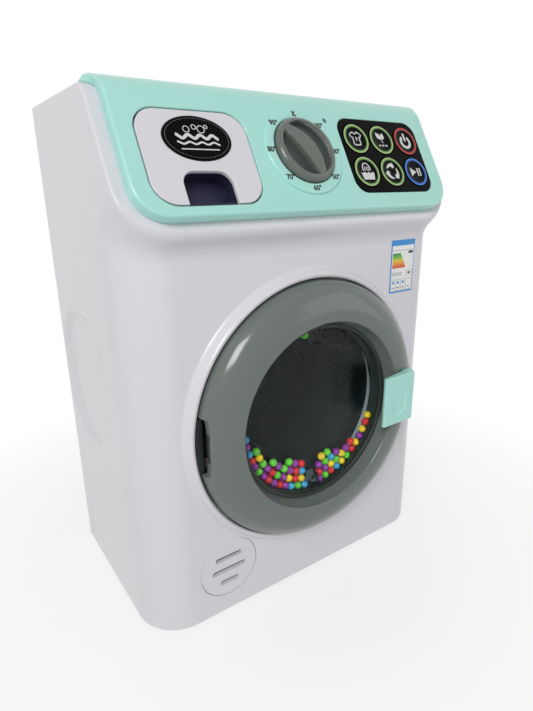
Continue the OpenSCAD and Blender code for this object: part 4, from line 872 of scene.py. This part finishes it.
def playIcon(draw):
    draw("shape", [(-3.6, -2.2), (0.3, 0), (-3.6, 2.2)])
    for x in (1.4, 3.1):
        draw("shape", [(x - 0.45, -2.1), (x + 0.45, -2.1), (x + 0.45, 2.1), (x - 0.45, 2.1)])


keySpots = {  # name: (column, row, colour, icon, size of the icon)
    "shirt": (-1, 0, "green", shirtIcon, 1.0), "leaf": (0, 0, "green", leafIcon, 1.0),
    "power": (1, 0, "red", powerIcon, 1.3), "basin": (-1, 1, "green", basinIcon, 1.25),
    "cycle": (0, 1, "green", cycleIcon, 1.35), "play": (1, 1, "blue", playIcon, 1.18),
}


def makeKey(name):
    column, row, colour, icon, size = keySpots[name]
    k = keys
    placing = slopeAround(k["x"] + column * k["pitch"], k["drop"] - (0.5 - row) * k["pitch"])
    top = k["top"]
    face = k["radius"] - k["band"]
    profile = [(0.0, proud - 3), (k["radius"], proud - 3)] + quarter(k["radius"], top, 0.35)
    profile += [(face - 0.1, top), (face - 0.5, top - 0.15), (0.0, top - 0.15)]
    cap = lathe(name + "Cap", placing, profile, blackPlastic, steps=96, closed=False)
    tones, slotName = ringInks[colour]
    circle = arcPoints(0, 0, 1.0, 0, 360, 97)[:-1]
    placing = at(placing, *ringShift)
    bands = [inkBand(name + "Ring", placing, circle * outer, circle * inner, top - 0.1, top + 0.05 - 0.01 * i,
                     keyInks[tone]) for i, (tone, (outer, inner)) in enumerate(zip(tones, ringBands))]
    marks = []
    low = top - 0.15

    def draw(kind, points, width=0.0):
        points = np.asarray(points, float) * size
        width *= size
        if kind == "band":
            left, right = stroke(points, width, True)
            marks.append(inkBand(name + "Mark", placing, left, right, low, low + 0.06, whiteInk))
        elif kind == "line":
            marks.append(inkLine(name + "Mark", placing, points, width, low, low + 0.06, whiteInk))
        else:
            marks.append(inkShape(name + "Mark", placing, points, low, low + 0.06, whiteInk))
    icon(draw)
    whole = joinPieces(name + "Key", [cap] + bands + marks)
    return place(whole, name + "_key", slotName, "key_" + name)


for keyName in keySpots:
    makeKey(keyName)
print("keys made")


# ---------- the drawer ----------

drawer = {"x": -61.9, "drop": 38.8, "width": 55.2, "height": 45.7, "radius": 11.0, "thick": 2.0,
          "archWidth": 25.0, "archHeight": 15.8, "archRadius": 6.5}
drawerPlace = slopeAround(drawer["x"], drawer["drop"])


def archOutline():  # upright sides and round upper corners, running out below the foot
    d = drawer
    half, low, r = d["archWidth"] / 2, -d["height"] / 2, d["archRadius"]
    top = low + d["archHeight"]
    foot = [(-half, low - 0.5), (half, low - 0.5)]
    return np.concatenate([foot, arcPoints(half - r, top - r, r, 0, 90, 12),
                           arcPoints(-half + r, top - r, r, 90, 180, 12)])


def makeDrawerFront():
    d = drawer
    plate = slab("drawerFront", drawerPlace, roundedBox(d["width"], d["height"], d["radius"], steps=16),
                 roundEdge(proud - d["thick"], proud, 0.45), whitePlastic)
    cutAway(plate, prism("archHole", drawerPlace, lambda inset: archOutline(), proud - 5, proud + 2))
    softenByWeight(plate, 0.5, lambda p: 1.0 if downSlope(p)[2] > 6.3 else 0.0)
    return place(plate, "drawer", "white_plastic", "drawer_front")


makeDrawerFront()
tray = smoothCopy("drawer_tray", "drawerTray", navyPlastic, 0.4)
place(tray, "drawer", "navy_plastic", "drawer_tray")


def makeBadge():
    placing = slopeAround(drawer["x"] + 0.4, 30.1)
    low, high = proud + 0.02, proud + 0.5
    plate = slab("badge", placing, ovalOutline(17.2, 11.2), roundEdge(low, high, 0.3, 4), blackPlastic)
    ink = (high, high + 0.05)
    marks, greyInk = [], printed("dotInk", "#7F8482")
    for i in range(72):  # a fine dotted line inside the rim
        a = 2 * math.pi * (i + 0.5) / 72
        x, y = 15.7 * math.cos(a), 9.8 * math.sin(a)
        tx, ty = -15.7 * math.sin(a), 9.8 * math.cos(a)
        size = math.hypot(tx, ty)
        tx, ty = 0.32 * tx / size, 0.32 * ty / size
        marks.append(inkLine("dot", placing, [(x - tx, y - ty), (x + tx, y + ty)], 0.18, *ink, greyInk))
    for x, y, r in ((-4.6, 4.2, 1.5), (-0.6, 5.4, 1.1), (2.8, 4.4, 1.8), (5.6, 5.8, 0.8)):
        circle = arcPoints(x, y, 1, 0, 360, 33)[:-1] - (x, y)
        outer, inner = circle * (r + 0.2) + (x, y), circle * (r - 0.2) + (x, y)
        marks.append(inkBand("bubble", placing, outer, inner, *ink, whiteInk))
    for y, reach, thick in ((0.6, 10.6, 1.5), (-2.6, 10.6, 0.9)):
        t = np.linspace(-1, 1, 60)
        wave = np.stack([t * reach, y + 0.9 * np.sin(t * 3.5 * np.pi) * (1 if thick > 1 else 0.6)], -1)
        marks.append(inkLine("wave", placing, wave, thick, *ink, whiteInk))
    marks.append(inkLine("underline", placing, [(-9.5, -5.6), (0, -5.6), (9.5, -5.6)], 0.55, *ink, whiteInk))
    return place(joinPieces("drawerBadge", [plate] + marks), "drawer", "black_plastic", "drawer_badge")


makeBadge()
print("drawer made")

# ---------- the door ----------

door = {"outer": 76.2, "proud": 16.4, "shoulder": 18.2, "shoulderK": 4.0, "windowR": 54.0, "windowK": 5.2,
        "windowT": 1.7, "chamber": 50.0}


def makeDoorRing():
    # a quarter ellipse from the skirt up to the face, a rounded inner lip, then a cone down to the window
    d = door
    face = d["outer"] - d["shoulder"]
    rise = d["proud"] - d["shoulderK"]
    a = np.radians(np.linspace(0, 90, 40))
    outside = [(face + d["shoulder"] * math.cos(t), d["shoulderK"] + rise * math.sin(t)) for t in a]
    inside = [(face + (d["shoulder"] - 2) * math.cos(t), d["shoulderK"] + (rise - 2) * math.sin(t))
              for t in a[::-1]]
    lip = [(56.6, 16.4), (56.2, 16.38), (55.75, 16.3), (55.35, 16.12), (55.05, 15.86), (54.8, 15.5)]
    cone = [(54.7, 15.2), (53.9, 12.6), (53.1, 10.1), (52.68, 8.8), (52.6, 8.4), (52.6, 7.9),
            (54.6, 7.9), (56.8, 14.2)]
    profile = [(74.2, 0.4), (75.9, 0.4), (76.2, 0.7)] + outside + lip + cone + inside
    ring = lathe("doorRing", facing, profile, ringPlastic, steps=288)
    notch = prism("notch", at(facing, -79.0, 0), roundedBox(13.0, 32, 0.6), 0.1, 11.2)
    slot = prism("latchSlot", at(facing, 63.15, 0), roundedBox(15.3, 32.2, 0.3), 2, 30)
    cutAway(ring, notch, slot)
    bevel(ring, 0.35, 2, limit_method="ANGLE", angle_limit=math.radians(50))
    tidyShading(ring, 40)
    place(ring, "door", "grey_plastic", "door_ring")


makeDoorRing()

latch = {"height": 31.5, "proud": 22.0, "dimple": (6.5, 10.5, 0.9), "dimpleX": 52.0, "round": 0.9}


def sideways(name, profile, half):  # a side view of (x, k) points pushed across the height by half each way
    count = len(profile)
    ends = [[facing(x, side * half, k) for x, k in profile] for side in (-1, 1)]
    faces = gridFaces(2, count, False, True).tolist() + [list(range(count)), list(range(count, 2 * count))]
    return newPiece(name, np.array(ends), faces, mintPlastic)


def makeLatch():
    # the side view pushed across the height, its edges rounded, with an oval dimple sunk in its face
    profile = [(39.5, 19.6), (39.5, 22.0), (64.3, 22.0), (70.3, 10.5), (68.5, 8.9), (64.5, 8.9),
               (58.5, 16.2), (54.0, 17.0)]
    block = sideways("latchLever", profile, latch["height"] / 2)
    bevel(block, latch["round"], 6, limit_method="ANGLE", angle_limit=math.radians(20))
    a, b, deep = latch["dimple"]
    levels = [(-0.45, latch["proud"] + 1), (-0.25, latch["proud"] + 0.06), (0.0, latch["proud"] - 0.1),
              (0.4, latch["proud"] - 0.5), (0.9, latch["proud"] - deep * 0.88), (1.7, latch["proud"] - deep)]
    bowl = slab("bowl", at(facing, latch["dimpleX"], 0), ovalOutline(a, b), levels, mintPlastic)
    cutAway(block, bowl, sharp=60)
    tidyShading(block, 60)
    hook = sideways("latchHook", [(65.5, 9.5), (68.5, 9.5), (68.5, -2), (70.7, -2.7), (70.7, -3.4),
                                  (65.5, -3.4)], 5)
    place(joinPieces("latchLever", [block, hook]), "latch", "mint_plastic", "latch_lever")


makeLatch()


def makeWindows():
    d = door
    r, low, high = d["windowR"], d["windowK"], d["windowK"] + d["windowT"]
    profile = [(0, low), (r - 0.1, low), (r, low + 0.1), (r, high - 0.1), (r - 0.1, high), (0, high)]
    outer = lathe("outerWindow", facing, profile, windowPlastic, steps=200, closed=False)
    place(outer, "door", "clear_plastic", "outer_window")
    profile = [(0, -2.4), (49.9, -2.4), (49.98, -2.3), (49.98, -0.7), (49.9, -0.6), (0, -0.6)]
    inner = lathe("innerDisc", facing, profile, windowPlastic, steps=200, closed=False)
    pieces = [inner]
    for side in (1, -1):
        outline = np.array([(-4, 49.6), (-2.4, 40.6), (2.4, 40.6), (4, 49.6)]) * (side, side)
        rib = slab("rib", facing, lambda inset: outline, [(0, -0.65), (0, 5.15)], windowPlastic)
        bevel(rib, 0.4, 3)
        tidyShading(rib, 40)
        pieces.append(rib)
    place(joinPieces("innerWindow", pieces), "door", "clear_plastic", "inner_window")


makeWindows()

beadColours = (("redBead", "#DC1F26"), ("yellowBead", "#F2C90F"), ("greenBead", "#63C92F"),
               ("blueBead", "#35A0D2"), ("purpleBead", "#8E2A98"))
beadInks = [moulded(name, colour, 0.16, shift=0.04, depth=0.001) for name, colour in beadColours]
beadRows = [(0, 186, 263), (0, 277, 344), (1, 200, 263), (1, 277, 322),  # row, first and last angle
            (2, 221, 262), (2, 278, 304), (3, 238, 256), (3, 282, 291)]


def makeBeads():
    # each bead is a sphere on a ring about the door's centre, with a shaken place and a colour by lot
    radius = 2.3
    rng = np.random.default_rng(7)
    down, about = 14, 22
    theta = np.linspace(0, np.pi, down)
    phi = np.linspace(0, 2 * np.pi, about, endpoint=False)
    across, up = np.sin(theta)[:, None], np.cos(theta)[:, None]
    ball = stack(across * np.cos(phi), across * np.sin(phi), up + 0 * phi)
    quads = gridFaces(down, about, False, True)
    spots = []
    for row, start, end in beadRows:
        ring = door["chamber"] - radius - 0.3 - row * (2 * radius + 0.1)
        step = 2 * math.degrees(math.asin((radius + 0.12) / ring))
        for a in np.arange(start, end, step):
            shake = rng.uniform(-1, 1, 2)
            spots.append((ring + 0.14 * shake[0], a + 0.35 * shake[1]))
    spots.append((door["chamber"] - radius - 0.5, 99.0))
    points, faces, inks = [], [], []
    last = -1
    for i, (ring, a) in enumerate(spots):
        centre = np.array([ring * math.cos(math.radians(a)), ring * math.sin(math.radians(a)), 2.3])
        p = centre + ball.reshape(-1, 3) * radius
        points.append(facing(p[:, 0], p[:, 1], p[:, 2]))
        faces.append(quads + i * len(p))
        ink = int(rng.integers(0, 5))
        ink = (ink + 1) % 5 if ink == last else ink
        last = 2 if i == len(spots) - 1 else ink
        inks += [last] * len(quads)
    piece = bpy.data.meshes.new("beads")
    piece.from_pydata(np.concatenate(points).tolist(), [], np.concatenate(faces).tolist())
    for ink in beadInks:
        piece.materials.append(ink)
    piece.polygons.foreach_set("material_index", np.array(inks, np.int32))
    made = bpy.data.objects.new("looseBeads", piece)
    bpy.context.scene.collection.objects.link(made)
    tidyMesh(made, 180)
    return place(made, "door", "beads", "beads")


makeBeads()
print("door made")


# ---------- the speaker grille and the sticker ----------

def makeGrille():
    placing = at(facing, grille["x"], grille["z"] - layout["doorZ"])
    r = grille["radius"]
    profile = [(0.0, -2.2), (r, -2.2)] + quarter(r, 0.0, 0.35) + [(0.0, 0.0)]
    disc = lathe("grilleDisc", placing, profile, whitePlastic, steps=120, closed=False)
    slots, louvres = [], []
    for i in (-1, 0, 1):
        up = 8 * i - 1.2
        half = math.sqrt((r - 7.2) ** 2 - up ** 2)
        slots.append(prism("slot", at(placing, 0, up), roundedBox(2 * half, 3.0, 1.4), -4, 2))
        # each slot has a lip that slants back under it
        wedge = np.array([(-1.9, -0.9), (-1.4, -0.75), (-1.1, -2.2), (-1.9, -2.2)])
        ends = [placing(np.full(4, x), up + wedge[:, 0], wedge[:, 1]) for x in (-half + 0.5, half - 0.5)]
        faces = gridFaces(2, 4, False, True).tolist() + [[0, 1, 2, 3], [4, 5, 6, 7]]
        louvres.append(newPiece("louvre", np.array(ends), faces, whitePlastic))
    cutAway(disc, *slots)
    profile = [(r - 6, -3.4), (r + 1.7, -3.4), (r + 1.7, -2.2), (r - 6, -2.2)]
    flange = lathe("grilleFlange", placing, profile, whitePlastic, steps=96)
    place(joinPieces("speakerGrille", [disc, flange] + louvres), "body", "white_plastic", "speaker_grille")


makeGrille()

sticker = {"x": 71.2, "z": 190.0, "width": 20.5, "height": 32.0, "thick": 0.15}


def stickerPlace(x, y, n):  # follows the face: n is measured forward of the front surface
    px = sticker["x"] + np.asarray(x, float)
    pz = sticker["z"] + np.asarray(y, float)
    return shellPoint(px, frontSurface(px, pz) - np.asarray(n, float), pz)


def stickerPatch(name, x0, x1, y0, y1, low, high, material, lean=0.0):
    # a printed rectangle as a fine grid, so that it bends with the face; lean slants its right end
    side, count = 9, 81
    u, v = np.meshgrid(np.linspace(0, 1, side), np.linspace(0, 1, side), indexing="ij")
    x = x0 + (x1 - x0 + lean * (0.5 - v)) * u
    y = y0 + (y1 - y0) * v
    top, base = stickerPlace(x, y, high + 0 * x), stickerPlace(x, y, low + 0 * x)
    grid = np.arange(count).reshape(side, side)
    rim = np.concatenate([grid[0], grid[1:, -1], grid[-1, ::-1][1:], grid[::-1, 0][1:-1]])
    nextOne = np.roll(rim, -1)
    faces = gridFaces(side, side).tolist() + (gridFaces(side, side) + count)[:, ::-1].tolist()
    faces += np.stack([rim, nextOne, nextOne + count, rim + count], -1).tolist()
    return newPiece(name, np.concatenate([top.reshape(-1, 3), base.reshape(-1, 3)]), faces, material)


barColours = ("#2E8B33", "#5AAE2C", "#A5C22A", "#E8C51C", "#EBA41E", "#E07A1F", "#D6501F")


def makeSticker():
    paper = printed("stickerPaper", "#EFF0EC", 0.3)
    blue = printed("stickerBlue", "#2E8FD6", 0.3)
    greyInk = printed("stickerGrey", "#8C9296", 0.4)
    bars = [printed("bar%d" % i, colour, 0.3) for i, colour in enumerate(barColours)]
    t = sticker["thick"]
    w, h = sticker["width"] / 2, sticker["height"] / 2
    made = [stickerPatch("stickerBase", -w, w, -h, h, 0.0, t, blue),
            stickerPatch("stickerSheet", -w + 0.9, w - 0.6, -h + 1.0, h - 3.4, t, t + 0.03, paper),
            stickerPatch("stickerBand", w - 5.2, w - 2.2, h - 2.8, h - 0.5, t, t + 0.03, paper),
            stickerPatch("stickerRule", -w + 1.2, w - 0.8, h - 6.4, h - 6.1, t + 0.03, t + 0.05, greyInk)]
    for i, ink in enumerate(bars):
        top = h - 8.0 - 1.28 * i
        made.append(stickerPatch("bar", -w + 1.4, -w + 8.6 + 0.72 * i, top - 1.22, top, t + 0.03, t + 0.06,
                                 ink, 0.2))
    made.append(stickerPatch("tag", w - 5.4, w - 1.4, h - 8.4, h - 6.9, t + 0.03, t + 0.06, blackInk))
    y = -h + 1.4
    for x0, x1, y0, y1 in ((-w + 1.3, -w + 4.9, y, y + 6.8), (-w + 5.5, -w + 9.2, y, y + 6.8),
                           (-w + 9.8, -w + 13.6, y, y + 6.8), (-w + 14.2, w - 1.2, y, y + 6.8),
                           (w - 6.6, w - 1.2, y + 8.4, y + 12.0)):
        for a0, a1, b0, b1 in ((x0, x1, y0, y0 + 0.2), (x0, x1, y1 - 0.2, y1),
                               (x0, x0 + 0.2, y0, y1), (x1 - 0.2, x1, y0, y1)):
            made.append(stickerPatch("frame", a0, a1, b0, b1, t + 0.03, t + 0.05, greyInk))
    for i, x in enumerate((-w + 2.3, -w + 6.5, -w + 10.9)):
        made.append(stickerPatch("mark", x, x + 1.6, y + 4.0, y + 5.6, t + 0.03, t + 0.05, blue))
    for x in (-w + 2.0, -w + 6.2, -w + 10.5, w - 4.9):
        made.append(stickerPatch("mark", x, x + 2.2, y + 1.3, y + 2.0, t + 0.03, t + 0.05, greyInk))
    for y1 in (y + 9.4, y + 10.4):
        made.append(stickerPatch("mark", -w + 1.4, -w + 10.4, y1, y1 + 0.4, t + 0.03, t + 0.05, greyInk))
    made.append(stickerPatch("mark", w - 5.0, w - 2.8, y + 9.6, y + 10.8, t + 0.03, t + 0.05, blackInk))
    return place(joinPieces("labelSticker", made), "body", "sticker", "label_sticker")


makeSticker()
print("grille and sticker made")


# ---------- CAD nodes shown as they are, or as merged copies with softened edges ----------

softened = {  # node: (material, slot, edge softening in mm)
    "battery_door": (whitePlastic, "white_plastic", 0.3),
    "door_liner": (linerPlastic, "liner_plastic", 0.0),
    "door_gasket": (linerPlastic, "silicone", 0.0),
    "drum": (charcoalPlastic, "charcoal_plastic", 0.0),
    "hinge_bracket": (charcoalPlastic, "charcoal_plastic", 0.25),
    "feet": (rubber, "black_rubber", 0.3),
    "tub": (palePlastic, "pale_plastic", 0.0),
}
for node, (material, slotName, soften) in softened.items():
    place(smoothCopy(node, node + "Skin", material, soften), bodyNodes[node]["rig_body"], slotName, node)

asBuilt = {  # node: (material, slot); every other node is steel
    "key_mat": (silicone, "silicone"), "keypad_board": (boardLacquer, "circuit_board"),
    # the drawer chute is charcoal so that the thin gap round the drawer front reads dark: painted shade
    "main_board": (boardLacquer, "circuit_board"), "drawer_chute": (charcoalPlastic, "charcoal_plastic"),
    "knob_switch": (charcoalPlastic, "charcoal_plastic"), "indicator_lens": (lensPlastic, "lens"),
    "speaker": (charcoalPlastic, "charcoal_plastic"), "battery_box": (blackPlastic, "black_plastic"),
    "battery_cells": (cellJacket, "cell"), "tub_bush": (brass, "brass"),
    "motor_bracket": (palePlastic, "pale_plastic"), "latch_catch": (blackPlastic, "black_plastic"),
    "drive_gear": (gearPlastic, "gear_plastic"), "pinion": (gearPlastic, "gear_plastic"),
}
for node, o in bodyNodes.items():
    if not o.hide_render:
        material, slotName = asBuilt.get(node, (steel, "steel"))
        o.data.materials.clear()
        o.data.materials.append(material)
print("CAD nodes finished")

# ---------- floor, camera, light ----------

def directRays(owner):  # 1 for rays that see a surface or its mirror image, 0 for rays that light it
    path = addNode(owner, "ShaderNodeLightPath")
    seen = addNode(owner, "ShaderNodeMath", {"operation": "ADD"},
                   {0: path.outputs["Is Camera Ray"], 1: path.outputs["Is Glossy Ray"]})
    seen = addNode(owner, "ShaderNodeMath", {"operation": "ADD", "use_clamp": True},
                   {0: seen.outputs[0], 1: path.outputs["Is Transmission Ray"]})
    return seen.outputs[0]


def makeFloor():
    # a pale matt sheet that takes the object's shadow and turns into the white background further out:
    # for seen and mirrored rays it is mixed with white by (distance + 0.35 m) / 0.65 m
    material, shader = newMaterial("paleStudioFloor", {"Roughness": 0.7, "Base Color": linear("#F7F7F7")})
    where = addNode(material, "ShaderNodeTexCoord").outputs["Object"]
    length = addNode(material, "ShaderNodeVectorMath", {"operation": "LENGTH"}, {0: where})
    away = addNode(material, "ShaderNodeMapRange", {"From Min": -0.35, "From Max": 0.3},
                   {"Value": length.outputs["Value"]})
    share = addNode(material, "ShaderNodeMath", {"operation": "MULTIPLY"},
                    {0: directRays(material), 1: away.outputs["Result"]})
    white = addNode(material, "ShaderNodeEmission", {"Color": (1, 1, 1, 1), "Strength": 1.0})
    mix = addNode(material, "ShaderNodeMixShader", {},
                  {0: share.outputs[0], 1: shader.outputs[0], 2: white.outputs[0]})
    out = next(n for n in material.node_tree.nodes if n.type == "OUTPUT_MATERIAL")
    material.node_tree.links.new(mix.outputs[0], out.inputs["Surface"])
    mesh = bpy.data.meshes.new("floor")
    mesh.from_pydata([(-3, -3, 0), (3, -3, 0), (3, 3, 0), (-3, 3, 0)], [], [(0, 1, 2, 3)])
    floor = bpy.data.objects.new("floor", mesh)
    bpy.context.scene.collection.objects.link(floor)
    mesh.materials.append(material)


makeFloor()

cameraView = {"yaw": 34.565, "pitch": 18.143, "roll": -0.701, "place": (-178.15, -264.85, 238.58),
              "lens": 26.11}


def makeCamera():
    yaw, pitch, roll = (math.radians(cameraView[k]) for k in ("yaw", "pitch", "roll"))
    ahead = Vector((math.sin(yaw) * math.cos(pitch), math.cos(yaw) * math.cos(pitch), -math.sin(pitch)))
    right = Vector((math.cos(yaw), -math.sin(yaw), 0))
    up = right.cross(ahead)
    rolledRight = right * math.cos(roll) + up * math.sin(roll)
    rolledUp = up * math.cos(roll) - right * math.sin(roll)
    camera = bpy.data.objects.new("camera", bpy.data.cameras.new("camera"))
    bpy.context.scene.collection.objects.link(camera)
    camera.data.lens = cameraView["lens"]
    camera.data.clip_start, camera.data.clip_end = 0.01, 20
    camera.matrix_world = Matrix((rolledRight, rolledUp, -ahead)).transposed().to_4x4()
    camera.location = Vector(cameraView["place"]) * mm
    bpy.context.scene.camera = camera


def makeLight(name, position, target, size, power):
    lamp = bpy.data.lights.new(name, "AREA")
    lamp.shape, lamp.size, lamp.energy = "SQUARE", size, power
    light = bpy.data.objects.new(name, lamp)
    bpy.context.scene.collection.objects.link(light)
    light.location = position
    light.rotation_euler = (Vector(target) - Vector(position)).to_track_quat("-Z", "Y").to_euler()


def makeWorld():
    world = bpy.data.worlds.new("studio")
    bpy.context.scene.world = world
    world.use_nodes = True
    world.node_tree.nodes.clear()
    around, seen = (addNode(world, "ShaderNodeBackground", {"Color": (1, 1, 1, 1), "Strength": strength})
                    for strength in (0.28, 1.0))
    mix = addNode(world, "ShaderNodeMixShader", {},
                  {0: directRays(world), 1: around.outputs[0], 2: seen.outputs[0]})
    addNode(world, "ShaderNodeOutputWorld", {}, {"Surface": mix.outputs[0]})


makeCamera()
makeWorld()
makeLight("keyLight", (-0.8, -0.75, 0.95), (0, 0, 0.14), 0.5, 9.2)
makeLight("fillLight", (0.9, -0.9, 0.5), (0, 0, 0.14), 0.8, 1.5)
bpy.context.scene.view_settings.view_transform = "Standard"
print("studio made")
